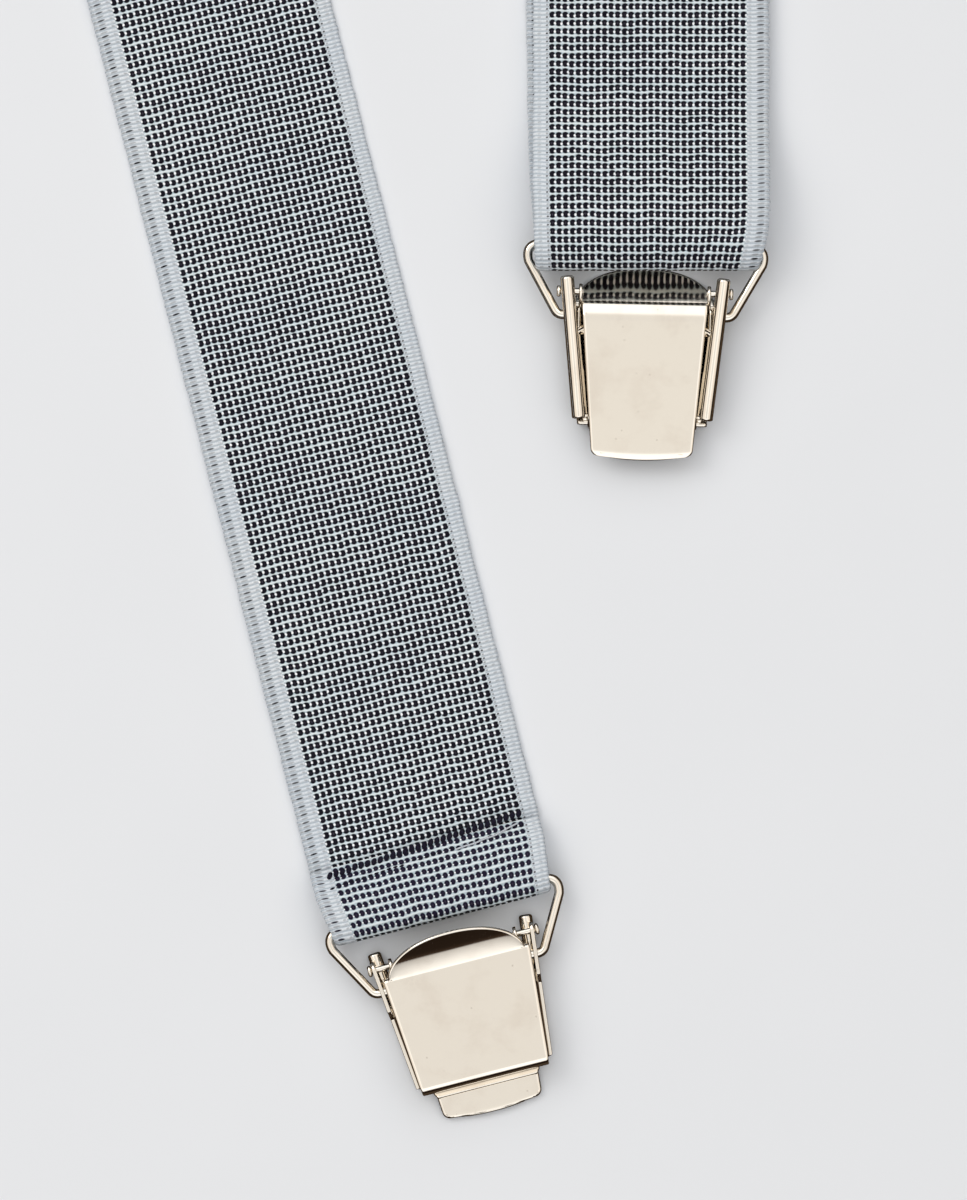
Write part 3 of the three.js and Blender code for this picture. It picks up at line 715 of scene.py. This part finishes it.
JAW_FACE, JAW_LOW = -1.8, -15.7
FRONT_DOME = ((1.3, 0.0), (1.6, 0.60), (3.4, 0.58), (5.0, 0.46), (6.6, 0.20))
BACK_DOME = ((1.3, 0.0), (2.0, 0.46), (4.1, 0.50), (4.7, 0.68), (6.6, 0.70))
DOME_START, DOME_PEAK = 1.3, 6.6


def dome_depth(y, heights_and_slopes):
    """How far the jaw's dome stands back from its flat face, from its slope at each height."""
    heights, slopes = np.array(heights_and_slopes).T
    fine = np.linspace(heights[0], heights[-1], 200)
    slope = np.interp(fine, heights, slopes)
    depth = np.concatenate([[0], np.cumsum((slope[1:] + slope[:-1]) / 2 * np.diff(fine))])
    return np.interp(y, fine, depth)


def clip_jaw(prefix, matrix):
    """The rear jaw: a flat plate with a toothed lip at the bottom and a dome flared back at the top."""
    bend, start = 0.75, DOME_START
    slopes = BACK_DOME if prefix == "back" else FRONT_DOME
    path = [(JAW_LOW, -0.05), (JAW_LOW, JAW_FACE + bend + 0.3)]
    path += arc((JAW_LOW + bend, JAW_FACE + bend), bend, 180, 270, 10)
    path += [(y, JAW_FACE) for y in np.linspace(JAW_LOW + bend + 0.5, start - 0.3, 20)]
    path += [(y, JAW_FACE) for y in np.linspace(start, DOME_PEAK, 30)]

    def shape(side, y, z):
        half = 10.85 + (np.minimum(y, start) - 0.9) * 0.085
        spread = np.abs(side)
        rise = np.clip((y - start) / (DOME_PEAK - start), 0, 1)
        half = half - 0.6 * ease(rise, 0.0, 0.3)
        local = 0.9 + (DOME_PEAK - 0.9) * np.sqrt(np.clip(1 - (spread * 0.985) ** 2.2, 0, 1))
        local = np.maximum(local, start + 0.35)
        y = np.where(y > start, start + (local - start) * rise, y)
        flat = (1 - rise) * ease(y, JAW_LOW, JAW_LOW + 1.2)
        z = z - dome_depth(y, slopes) + flat * (0.04 * side**2 + 0.05 * ease(spread, 0.985, 1.0))
        return side * half, y, z

    parts = [pressed_sheet("plate", path, -denser_ends(41), shape, matrix)]
    for side in (-1, 1):
        outline = [(-1.6, JAW_FACE + 0.2), (1.1, JAW_FACE + 0.2), (1.5, 0.1)]
        outline += arc((0, 0.1), 1.25, 20, 160, 8) + [(-1.5, 0.1)]
        inner, outer = sorted((side * 10.4, side * 11.0))
        parts.append(soften(slab("ear", outline, inner, outer, NICKEL, matrix, "yz"), 0.1))
    pitch = 2.1
    lip = matrix @ axes_matrix((0, JAW_LOW + 0.6, -0.30), (1, 0, 0), (0, 0, 1), (0, -1, 0))
    for i in range(9):
        x = (i - 4) * pitch
        tooth = [(x - 0.62, -0.2), (x - 0.34, 0.34), (x + 0.34, 0.34), (x + 0.62, -0.2)]
        parts.append(soften(slab("tooth", tooth[::-1], 0.02, 0.58, NICKEL, lip), 0.06))
    return fuse(f"{prefix}_jaw_plate", parts)


def clip_frame(prefix, matrix):
    """The frame: a plate with a narrower foot, two side walls with ears, and their rolled front rails."""
    rows = [(y, 0.95) for y in np.linspace(CLIP_BOTTOM + 0.25, 1.0, 30)]

    def shape(side, y, z):
        half = clip_half(y) - 0.6
        inward = clip_half(y) - np.abs(side * half)
        z = z - 0.75 * (1 - ease(inward, 2.1, 3.3)) + 1.2 * (1 - ease(inward, 0.6, 1.3))
        half = half - (half - 9.6) * ease(y, -2.6, -1.9)
        return side * half, y, z

    parts = [pressed_sheet("plate", rows, -denser_ends(49, 0.03), shape, matrix)]
    foot_end = CLIP_BOTTOM - 1.9
    foot_rows = []
    for y in np.linspace(foot_end, CLIP_BOTTOM + 1.5, 16):
        foot_rows.append((y, 0.9 + 0.5 * min(0.0, y - CLIP_BOTTOM)))

    def foot_shape(side, y, z):
        half = 7.9 - 0.4 * (1 - ease(y, foot_end, CLIP_BOTTOM - 1.2))
        return side * half, y, z

    parts.append(pressed_sheet("foot", foot_rows, -denser_ends(15), foot_shape, matrix))
    low, high = 0.45, 2.2
    wall = [(CLIP_BOTTOM + 0.1, low), (-4.3, low), (-3.6, -0.4), (-3.0, -1.75)]
    wall += arc((CLIP_TOP - 2.25, -0.65), 1.25, -90, 0, 8)
    wall += [(CLIP_TOP - 1.0, high), (CLIP_BOTTOM + 0.1, high)]
    for side in (-1, 1):
        corner = (side * HALF_AT_HINGE, 0, 0)
        local = matrix @ axes_matrix(corner, (1, -side * TAPER, 0), (side * TAPER, 1, 0), (0, 0, 1))
        inner, outer = sorted((0, -side * 0.6))
        parts.append(soften(slab("wall", wall, inner, outer, NICKEL, local, "yz"), 0.12))
        x = -side * RAIL
        z = RAIL_TOP - RAIL
        parts.append(rod("rail", (x, CLIP_BOTTOM, z), (x, CLIP_TOP, z), RAIL, NICKEL, local, 0.4))
    return fuse(f"{prefix}_frame_body", parts)


def clip_pivot(prefix, matrix):
    """Two short pins, each through a side wall into the lever's ear."""
    inner, wall = 9.1, clip_half(PIVOT_Y) + 0.1
    parts = []
    for side in (-1, 1):
        start = (side * inner, PIVOT_Y, PIVOT_Z)
        middle = (side * wall, PIVOT_Y, PIVOT_Z)
        end = (side * (wall + 0.6), PIVOT_Y, PIVOT_Z)
        parts.append(rod("shaft", start, middle, 0.5, WIRE_PLATE, matrix, 0.1, 20))
        parts.append(rod("head", middle, end, 0.85, WIRE_PLATE, matrix, 0.3, 24))
    return fuse(f"{prefix}_pivot_pin", parts)


def bezier_at(points, t):
    """The place at share t of the way along the curve of two or more control points."""
    while len(points) > 1:
        points = [a * (1 - t) + b * t for a, b in zip(points, points[1:])]
    return points[0]


def bezier(points, count):
    """The curve of two or more control points as count places, without its last point."""
    shares = np.linspace(0, 1, count, endpoint=False)[:, None]
    return bezier_at([np.asarray(p, float) for p in points], shares)


def wire_loop(prefix):
    """The bent wire: its ends turn in through the clip's ears, and its bar holds the strap."""
    hinge, across = clip_axes(prefix)[:2]
    bar = joint_place(f"{prefix}_loop_swing")
    ahead = unit(bar - hinge)
    matrix = axes_matrix(hinge + across * CLIP_ASIDE[prefix], across, ahead, np.cross(across, ahead))
    knee, corner, half_bar = 0.8, 2.4, 17.45
    inner, outer = 10.3, 12.9
    leg = unit((half_bar - outer, WIRE_REACH - corner))
    right = [
        (inner, 0, 0),
        (outer - knee, 0, 0),
        (outer, 0, 0),
        (outer + leg[0] * knee, leg[1] * knee, 0),
        (half_bar - leg[0] * 0.3, WIRE_REACH - corner - leg[1] * 0.3, 0),
        (half_bar + 0.6, WIRE_REACH, 0),
        (half_bar - corner, WIRE_REACH, 0),
    ]
    half = np.concatenate(
        [
            bezier(right[0:2], 3),
            bezier(right[1:4], 8),
            bezier(right[3:5], 10),
            bezier(right[4:7], 16),
            bezier((right[6], (0, WIRE_REACH, 0)), 12),
        ]
    )
    path = np.concatenate([half, [(0, WIRE_REACH, 0)], (half * (-1, 1, 1))[::-1]])
    piece = tube(f"{prefix}_wire", path, WIRE_RADIUS, WIRE_PLATE, matrix, 20)
    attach(piece, f"{prefix}_loop")
    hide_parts(f"{prefix}_wire_loop")


def clip(prefix):
    hinge, across, ahead, front = clip_axes(prefix)
    matrix = axes_matrix(hinge + across * CLIP_ASIDE[prefix], across, ahead, front)
    for maker, body, node, finish in (
        (clip_lever, "lever", "clip_lever", "nickel"),
        (clip_jaw, "jaw", "clip_jaw", "nickel"),
        (clip_frame, "frame", "clip_frame", "nickel"),
        (clip_pivot, "frame", "clip_pivot", "steel_wire"),
    ):
        piece = maker(prefix, matrix)
        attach(piece, f"{prefix}_{body}")
        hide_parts(f"{prefix}_{node}")


for each in CLIPS:
    clip(each)
    wire_loop(each)

# ---- Straps -------------------------------------------------------------------------------------


def spline(points, steps):
    """A smooth centripetal curve through points: its places, and how many knots along each one is."""
    points = np.asarray(points, float)
    padded = np.vstack([2 * points[0] - points[1], points, 2 * points[-1] - points[-2]])
    curve, knots = [], []
    t = np.linspace(0, 1, steps, endpoint=False)[:, None]
    for i in range(len(points) - 1):
        before, start, end, after = padded[i : i + 4]
        ends = ((before, start), (start, end), (end, after))
        d0, d1, d2 = [max(np.linalg.norm(b - a) ** 0.5, 1e-4) for a, b in ends]
        leave = ((start - before) / d0 - (end - before) / (d0 + d1) + (end - start) / d1) * d1
        reach = ((end - start) / d1 - (after - start) / (d1 + d2) + (after - end) / d2) * d1
        drop = 2 * start - 2 * end + leave + reach
        bend = -3 * start + 3 * end - 2 * leave - reach
        curve.append(start + leave * t + bend * t**2 + drop * t**3)
        knots.append(i + t[:, 0])
    curve.append(points[-1:])
    knots.append([len(points) - 1])
    return np.concatenate(curve), np.concatenate(knots)


def strap_section():
    """A strap's section: each point's place across, and its share of the half thickness."""
    rounded = 0.6
    inner = STRAP_HALF - rounded
    flat = np.linspace(-inner, inner, 12)
    top = [(x, 1.0) for x in flat]
    bottom = [(x, -1.0) for x in flat[::-1]]
    right = [(inner + rounded * math.sin(a), math.cos(a)) for a in np.radians([30, 60, 90, 120, 150])]
    left = [(-x, -high) for x, high in right]
    return np.array(top + right + bottom + left)


SECTION = strap_section()
RIB = 0.05  # height of the weave's cross ribs
STEP = ROW_PITCH / 4


def strap(name, knots, turned=1, tail_from=None, turned_under=None, seed=1):
    """A strap through knots: rows of x, y, z, turn in degrees, half width to the left and to the right.
    turned is -1 where the dashed selvedge is on the left, and turned_under is the knot past which it
    changes sides. The tail's own material ends at tail_from along the strap."""
    knots = np.asarray(knots, float)
    curve, at = spline(knots[:, :3], 24)
    reach = np.concatenate([[0], np.cumsum(np.linalg.norm(np.diff(curve, axis=0), axis=1))])
    count = int(round(reach[-1] / STEP)) + 1
    along = np.linspace(0, reach[-1], count)
    centre_line = np.stack([np.interp(along, reach, curve[:, i]) for i in range(3)], -1)
    knot_at = np.interp(along, reach, at)
    every = np.arange(len(knots))
    turn = np.radians(np.interp(knot_at, every, knots[:, 3]))
    half_left = np.interp(knot_at, every, knots[:, 4])
    half_right = np.interp(knot_at, every, knots[:, 5])
    across = np.stack([np.cos(turn), np.sin(turn), np.zeros(count)], -1)
    ahead = np.gradient(centre_line, axis=0)
    ahead /= np.linalg.norm(ahead, axis=1)[:, None]
    normal = np.cross(across, ahead)
    normal /= np.linalg.norm(normal, axis=1)[:, None]

    random = np.random.default_rng(seed)
    weave = 2 * math.pi * along / ROW_PITCH
    rib = RIB * np.cos(weave)
    soft = np.convolve(random.normal(0, 1, count + 40), np.hanning(41) / 8, "valid")
    ragged = random.normal(0, 0.05, (count, 2)) + 0.07 * np.cos(weave * 2)[:, None]
    points = np.empty((count, len(SECTION), 3))
    section_x, section_n = SECTION[:, 0], SECTION[:, 1]
    edge = np.clip((np.abs(section_x) - STRAP_HALF + 1.2) / 1.2, 0, 1)
    for i in range(count):
        widths = np.where(section_x < 0, half_left[i], half_right[i]) / STRAP_HALF
        frayed = np.where(section_x < 0, ragged[i, 0], ragged[i, 1]) * edge * np.sign(section_x)
        x = section_x * widths + frayed + 0.06 * soft[i] * edge
        n = section_n * (STRAP_THICK / 2 + rib[i] * (1 - edge) - 0.12 * edge)
        points[i] = centre_line[i] + x[:, None] * across[i] + n[:, None] * normal[i]
    points[..., 2] = np.maximum(points[..., 2], 0.0)
    faces = sweep(points)
    sides = len(SECTION)
    ways = np.full(count, float(turned))
    if turned_under is not None:
        ways[knot_at > turned_under] *= -1
    uvs = []
    for i in range(count - 1):
        u = STRAP_HALF + ways[i] * section_x
        for j in range(sides):
            k = (j + 1) % sides
            uvs.append(((u[j], along[i]), (u[k], along[i]), (u[k], along[i + 1]), (u[j], along[i + 1])))
    for end, order in ((0, range(sides - 1, -1, -1)), (-1, range(sides))):
        uvs.append([(STRAP_HALF + ways[end] * section_x[j], along[end]) for j in order])
    face_materials = np.zeros(len(faces), np.int32)
    if tail_from is not None:
        rows = np.repeat(np.arange(count - 1), sides)
        face_materials[: len(rows)] = along[rows] < tail_from
    webbings = [WEBBING, WEBBING_TAIL]
    points = points.reshape(-1, 3)
    piece = make_piece(name, points, faces, webbings, uvs=uvs, face_materials=face_materials)
    return piece, reach[-1]


GAP = 0.3  # between two layers that lie on each other
LAID = STRAP_THICK / 2  # heights of a strap's middle: on the table, over another strap, over an adjuster
OVER = LAID + STRAP_THICK + GAP
RAISED = 4.7
LEATHER_THICK = 1.1
PATCH_STRAP = LEATHER_THICK + GAP + LAID
BRANCH_LEAN = 18  # a front strap's angle off the patch's line, in degrees
BRANCH_ASIDE, BRANCH_UP = 18, 8  # where a front strap starts, from the patch's middle
SPREAD = {"right": (BRANCH_LEAN, -8), "left": (-BRANCH_LEAN, 3)}  # its angle there, and at the shoulder
PIN_UP = 6  # an adjuster's pin, from its middle
JOIN_AT = 45  # where the two lengths of a front strap meet, from its bar


def heading(degrees):
    """The way that a strap at this turn runs, level with the table."""
    return np.array((-math.sin(math.radians(degrees)), math.cos(math.radians(degrees)), 0.0))


BACK_BAR = joint_place("back_loop_swing")
BACK_AXIS = unit(JOINTS["back_loop_swing"]["axis"])
BACK_TURN = math.degrees(math.atan2(BACK_AXIS[1], BACK_AXIS[0]))
if abs(BACK_TURN) > 90:
    BACK_TURN += 180 if BACK_TURN < 0 else -180
PATCH_AT = 190
BACK_AHEAD = heading(BACK_TURN)
BACK_ACROSS = np.cross(BACK_AHEAD, (0, 0, 1))
BACK_FRAME = axes_matrix((BACK_BAR[0], BACK_BAR[1], 0), BACK_ACROSS, BACK_AHEAD, (0, 0, 1))


def in_back(x, y, z=0.0):
    """A place in the back strap's own frame, from its bar, as one in the row frame."""
    return (BACK_FRAME @ np.array((x, y, z, 1.0)))[:3]


def front_strap(side):
    """One front strap. Its long length runs from the patch, round the shoulder fold, down to the wire's bar,
    round it and back up a little, under itself. The return length takes it on up to the adjuster."""
    low, high = box_mm(f"front_{side}_strap")
    x = (low[0] + high[0]) / 2
    bar = joint_place(f"front_{side}_loop_swing")
    slide_y = joint_place(f"{side}_flap_lift")[1] - PIN_UP
    shoulder = high[1] + 34
    sign = 1 if side == "right" else -1
    spread, arrival = SPREAD[side]
    begin_turn = BACK_TURN - spread
    begin = in_back(sign * BRANCH_ASIDE, PATCH_AT + BRANCH_UP)
    end = np.array((x, shoulder, 0.0))
    reach = 100
    plan = [begin, begin + heading(begin_turn) * reach, end - heading(arrival) * reach, end]
    knots = []
    full = (STRAP_HALF, STRAP_HALF)
    steps = 14
    for i in range(steps):
        t = i / steps
        place = bezier_at(plan, t)
        way = bezier_at(plan, t + 0.01) - place
        drop = float(ease(np.linalg.norm(place - begin), 22, 42))
        z = PATCH_STRAP + (LAID - PATCH_STRAP) * drop
        knots.append((place[0], place[1], z, math.degrees(math.atan2(-way[0], way[1])), *full))
    for dy, z, share in (
        (-6, LAID + 0.1, 1),
        (1, 1.3, 0.85),
        (3.4, 3.7, 0.6),
        (1, 6.6, 0.35),
        (-8, 5.4, 0.15),
        (-20, OVER + 0.9, 0),
        (-34, OVER, 0),
    ):
        knots.append((x, shoulder + dy, z, arrival * share, *full))
    for dy, z in ((118, OVER), (97, RAISED), (62, RAISED), (27, RAISED), (-28, RAISED), (-48, OVER)):
        knots.append((x, slide_y + dy, z, 0, *full))
    # the clip end, from its bar: y, z, and what each edge is drawn in by
    lower = -0.4
    fold = [
        (30, OVER, 0, 0),
        (19, OVER + 0.7, 0, 0),
        (9, bar[2] + 1.6, 0, 0),
        (4.2, bar[2] + 2.35, 0.1, 0.1),
    ]
    turn_in = (
        (80, 0.1, 0.3),
        (110, 0.2, 0.8),
        (135, 0.3, 1.2),
        (160, 0.4, 1.5),
        (180, 0.4, 1.6),
        (205, 0.4, 1.5),
        (235, 0.4, 1.4),
        (270, 0.3, 1.0),
    )
    for degrees, left, right in turn_in:
        a = math.radians(degrees)
        fold.append((1 + 4.2 * math.cos(a), bar[2] + 2.4 * math.sin(a), left, right))
    for y, z, left, right in fold:
        knots.append((x, bar[1] + y, z, 0, STRAP_HALF - left, STRAP_HALF - right))
    for y, z, aside in ((10, LAID + 0.5, lower), (22, LAID, lower - 0.3), (JOIN_AT, LAID, lower - 0.7)):
        knots.append((x + aside, bar[1] + y, z, 0, *full))
    seeds = {"right": (3, 7), "left": (5, 9)}[side]
    piece, length = strap(f"{side}_front_webbing", knots, turned_under=len(knots) - 4, seed=seeds[0])
    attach(piece, "straps")
    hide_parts(f"front_{side}_strap", f"{side}_shoulder_strap")

    # the return length, which runs on under it to the adjuster, where its end is sewn round a bar
    bar_z = 1.9
    top = bar_z + 0.4 + GAP + LAID
    rows = [
        (bar[1] + JOIN_AT + 0.15, LAID, lower - 0.7),
        (bar[1] + JOIN_AT + 20, LAID, lower - 0.7),
        (slide_y - 40, LAID, lower - 0.3),
        (slide_y - 13, LAID, 0),
        (slide_y - 7.2, LAID, 0),
        (slide_y - 6.1 + 0.5, bar_z, 0),
        (slide_y - 7.2, top, 0),
        (slide_y - 12.5, top - 0.1, 0),
        (slide_y - 18, OVER + 0.1, 0),
        (slide_y - 24, OVER, 0),
    ]
    knots = [(x + aside, y, z, 0, *full) for y, z, aside in rows]
    piece, length = strap(f"{side}_return_webbing", knots, turned=-1, seed=seeds[1])
    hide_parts(f"front_{side}_strap_end")
    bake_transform(piece)


for each in SIDES:
    front_strap(each)

TAIL = 9.2  # the tail's length, from the bar
HEM_LEAN = 0.07  # the tail is cut a little longer on its right


def back_strap():
    """The back strap, inner face up: a short sewn tail, the fold round the bar, and the run to the patch."""
    bar = BACK_BAR[2]
    mid = WIRE_RADIUS + GAP + LAID
    rows = [
        (TAIL, 2.5, 0, 0),
        (TAIL - 1.6, 2.75, 0, 0),
        (5.8, 3.5, 0, 0),
        (3.4, bar + mid - 0.35, 0.3, 0.3),
        (0.6, bar + mid, 0.8, 0.7),
        (-mid * 0.72, bar + mid * 0.72, 1.0, 0.9),
        (-mid, bar, 1.1, 1.0),
        (-mid * 0.72, bar - mid * 0.72, 1.0, 0.9),
        (0.6, bar - mid, 0.8, 0.7),
        (8, LAID + 0.3, 0, 0),
        (16, LAID, 0, 0),
        (60, LAID, 0, 0),
        (PATCH_AT - 46, LAID, 0, 0),
        (PATCH_AT - 26, PATCH_STRAP, 0, 0),
        (PATCH_AT - 4, PATCH_STRAP, 0, 0),
    ]
    knots = []
    for y, z, left, right in rows:
        knots.append((*in_back(0, y, z), BACK_TURN, STRAP_HALF - left, STRAP_HALF - right))
    tail_from = TAIL + 1.2
    piece, length = strap("back_webbing", knots, turned=-1, tail_from=tail_from, seed=11)
    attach(piece, "straps")
    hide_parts("back_strap")


back_strap()


def stitches(name, places, radius, material, lift=0.0, body="straps"):
    """A row of thread stitches, each a little arched capsule between two places."""
    parts = []
    for start, end in places:
        start, end = np.asarray(start, float), np.asarray(end, float)
        t = np.linspace(0, 1, 6)
        path = start + np.outer(t, end - start)
        path[:, 2] += lift * np.sin(math.pi * t)
        widths = radius * np.sqrt(np.clip(1 - (2 * t - 1) ** 2 * 0.92, 0, 1))
        parts.append(tube("stitch", path, widths, material, sides=7))
    piece = fuse(name, parts)
    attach(piece, body)


def hem():
    """The tail's sewn end: a row of bold navy overcast stitches, a line of fine ones below it, and a
    loose thread."""
    random = np.random.default_rng(21)
    bold, fine = [], []
    heights = [5.8, 7.6, TAIL], [3.5, 2.75, 2.5]
    top = 2.5 + LAID
    half_row = 14.7
    for i in range(COLUMNS + 1):
        x = -half_row + 2 * half_row * i / COLUMNS
        y = TAIL + HEM_LEAN * x + random.normal(0, 0.05)
        lean = 0.30 + random.normal(0, 0.04)
        bold.append((in_back(x - lean, y - 0.50, top), in_back(x + lean, y + 0.50, top - 0.15)))
        low = y - 1.75 + random.normal(0, 0.06)
        if random.random() < 0.8:  # the rest are sunk in the weave
            high = np.interp(low, *heights) + LAID + RIB
            fine.append((in_back(x - 0.42, low - 0.05, high), in_back(x + 0.30, low + 0.05, high)))
    stitches("hem_overcast", bold, 0.42, NAVY_THREAD, 0.15)
    stitches("hem_run", fine, 0.16, NAVY_THREAD, 0.05)
    t = np.linspace(0, 1, 40)
    wave = 0.05 * np.sin(t * 17) + 0.10 * np.sin(t * 5 + 1)
    along_hem = 4.5 + 9.6 * t
    low = TAIL + HEM_LEAN * along_hem - 2.2 + 1.0 * t**2 + wave
    path = [in_back(x, y, np.interp(y, *heights) + LAID + 0.2) for x, y in zip(along_hem, low)]
    thread = tube("hem_loose_thread", path, 0.13, PALE_THREAD, sides=8)
    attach(thread, "straps")


hem()

# ---- Patch --------------------------------------------------------------------------------------


def patch_outline():
    """The patch's edge, from its middle, as one closed run of points."""
    right = [
        [(17, -25), (21, -25), (23, -22)],
        [(23, -22), (40, 1)],
        [(40, 1), (42, 4), (41, 7)],
        [(41, 7), (36, 21)],
        [(36, 21), (35, 25), (31, 24)],
        [(31, 24), (12, 17), (0, 17)],
    ]
    half = np.concatenate([bezier(span, 9) for span in right])
    top = [(0, 17)]
    left = (half * (-1, 1))[::-1]
    return np.concatenate([half, top, left])


def covered(x, y):
    """1 where a strap lies between the patch's leathers, falling to 0 beside it."""
    share = (1 - ease(np.abs(x), STRAP_HALF, STRAP_HALF + 3.5)) * (1 - ease(y, 2, 10))
    for sign in (-1, 1):
        lean = math.radians(BRANCH_LEAN)
        dx, dy = x - sign * BRANCH_ASIDE, y - BRANCH_UP
        off = np.abs(dx * math.cos(lean) - sign * dy * math.sin(lean))
        up = sign * dx * math.sin(lean) + dy * math.cos(lean)
        share = np.maximum(share, (1 - ease(off, STRAP_HALF, STRAP_HALF + 3.5)) * ease(up, -10, -2))
    return share


def leather(name, node, low, rise):
    """One leather: rounded edge, and drawn towards the other where no strap lies between them."""
    edge = patch_outline()
    shares = np.concatenate([[0.02], np.linspace(0.12, 0.94, 12), [0.97, 0.985, 0.995, 1.0]])
    half_thick = LEATHER_THICK / 2
    rings = []
    for face in (1, -1):
        for share in shares if face > 0 else shares[::-1]:
            ring = edge * share
            away = (1 - share) * 40
            round_off = half_thick * math.sqrt(max(0, 1 - max(0, 1 - away / 0.9) ** 2))
            drawn = rise * (1 - covered(ring[:, 0], ring[:, 1])) * ease(share, 0.35, 0.93)
            z = low + half_thick + face * round_off + drawn
            rings.append(np.column_stack([ring, z]))
    faces = sweep(rings)
    matrix = BACK_FRAME @ axes_matrix((0, PATCH_AT, 0), (1, 0, 0), (0, 1, 0), (0, 0, 1))
    piece = make_piece(name, np.concatenate(rings), faces, [LEATHER], matrix)
    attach(piece, "straps")
    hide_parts(node)


TOP_LEATHER = PATCH_STRAP + LAID + GAP
TOP_DRAWN, LOW_DRAWN = -1.35, 0.0
leather("patch_outer", "patch_outer_leather", 0.0, LOW_DRAWN)
leather("patch_inner", "patch_inner_leather", TOP_LEATHER, TOP_DRAWN)


def patch_stitches():
    """A row of pale stitches round the patch, just in from its edge, on both faces."""
    edge = patch_outline()
    closed = np.vstack([edge, edge[:1]])
    inset = closed * 0.93
    reach = np.concatenate([[0], np.cumsum(np.linalg.norm(np.diff(inset, axis=0), axis=1))])
    count = int(reach[-1] / 2.9)
    faces = (("inner", TOP_LEATHER + LEATHER_THICK, TOP_DRAWN, 1), ("outer", 0.0, LOW_DRAWN, -1))
    for name, level, rise, face in faces:
        places = []
        for i in range(count):
            ends = []
            for share in (0.12, 0.88):
                at = (i + share) / count * reach[-1]
                x = np.interp(at, reach, inset[:, 0])
                y = np.interp(at, reach, inset[:, 1])
                z = level + rise * (1 - float(covered(x, y))) + (0.05 if face > 0 else 0.40)
                ends.append(in_back(x, PATCH_AT + y, z))
            places.append(ends)
        stitches(f"patch_{name}_stitches", places, 0.27, PALE_THREAD, 0.12 * face)


patch_stitches()

# ---- Adjusters ----------------------------------------------------------------------------------


def slide(side):
    """The adjuster: a frame with two side walls and two bars, its hinge pin, and its toothed flap."""
    pin = joint_place(f"{side}_flap_lift")
    matrix = axes_matrix((pin[0], pin[1] - PIN_UP, 0), (1, 0, 0), (0, 1, 0), (0, 0, 1))
    pin_y, pin_z = PIN_UP, pin[2]
    inside, wall_thick = 18, 0.8
    low, high = -11, 10
    parts = []
    wall = [(low, 1.5), (high - 1.0, 1.5), (high, 2.5), (high, pin_z)]
    wall += arc((pin_y + 1.6, pin_z - 0.6), 2.4, 0, 110, 10)
    wall += [(pin_y - 3, pin_z), (low + 2, 4.7)] + arc((low + 1, 3.7), 1.0, 90, 180, 6)
    for sign in (-1, 1):
        inner, outer = sorted((sign * inside, sign * (inside + wall_thick)))
        parts.append(soften(slab("wall", wall, inner, outer, NICKEL, matrix, "yz"), 0.2, 3))
    for y0, y1, z0 in ((-11, -7, 1.5), (-3, high - 1, 3.0)):
        plate = [(-inside - 0.2, y0), (inside + 0.2, y0), (inside + 0.2, y1), (-inside - 0.2, y1)]
        parts.append(soften(slab("bar", plate, z0, z0 + 0.8, NICKEL, matrix), 0.2, 3))
    body = fuse(f"{side}_slide_frame", parts)
    heads = []
    for sign in (-1, 1):
        start = (sign * (inside + wall_thick - 0.2), pin_y, pin_z)
        end = (sign * (inside + wall_thick + 0.8), pin_y, pin_z)
        heads.append(rod("head", start, end, 1.5, WIRE_PLATE, matrix, 0.4, 28))
    start = (-inside, pin_y, pin_z)
    end = (inside, pin_y, pin_z)
    heads.append(rod("shaft", start, end, 0.8, WIRE_PLATE, matrix, 0.1, 20))
    shaft = fuse(f"{side}_slide_pin", heads)

    half = inside - 0.55
    path = arc((pin_y, pin_z), 1.6, -30, 90, 14)
    path += [(y, pin_z + 1.6) for y in np.linspace(pin_y - 0.7, low + 2.8, 34)]
    for angle in np.radians(range(0, 91, 10)):
        path.append((low + 0.4 + 2.4 * (1 - math.sin(angle)), pin_z + 1.6 - 0.4 * math.sin(angle) ** 2))

    def shape(side, y, z):
        close = np.clip((low + 2.8 - y) / 2.4, 0, 1)
        wide = half - 2.4 * (1 - np.sqrt(1 - close**2))
        rim = np.maximum(ease(np.abs(side), 0.86, 0.90), ease(y, pin_y - 3.5, pin_y - 2.9))
        rim = np.maximum(rim, 1 - ease(y, low + 3.0, low + 3.6))
        groove = 0.10 * np.cos(side * math.pi * 15) - 0.28
        return side * wide, y, z + groove * (1 - rim) - 0.2 * ease(np.abs(side), 0.97, 1.0)

    plate = pressed_sheet("plate", path, denser_ends(171, 0.03), shape, matrix)
    teeth = [plate]
    count = 11
    pitch = (2 * half - 2) / count
    for i in range(count):
        x = -half + 1 + (i + 0.5) * pitch
        wide = pitch * 0.3
        tooth = [(pin_y - 1.5, pin_z - 0.6), (pin_y - 1.1, 5.7), (pin_y - 0.7, 5.7)]
        tooth.append((pin_y - 0.3, pin_z - 1.0))
        teeth.append(soften(slab("tooth", tooth[::-1], x - wide, x + wide, NICKEL, matrix, "yz"), 0.08))
    flap = fuse(f"{side}_slide_flap", teeth)
    for piece, body_name, node, finish in (
        (body, f"{side}_adjuster", f"{side}_adjuster_frame", "nickel"),
        (shaft, f"{side}_adjuster", f"{side}_adjuster_pin", "steel_wire"),
        (flap, f"{side}_flap", f"{side}_adjuster_flap", "nickel"),
    ):
        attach(piece, body_name)
        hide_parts(node)


for each in SIDES:
    slide(each)
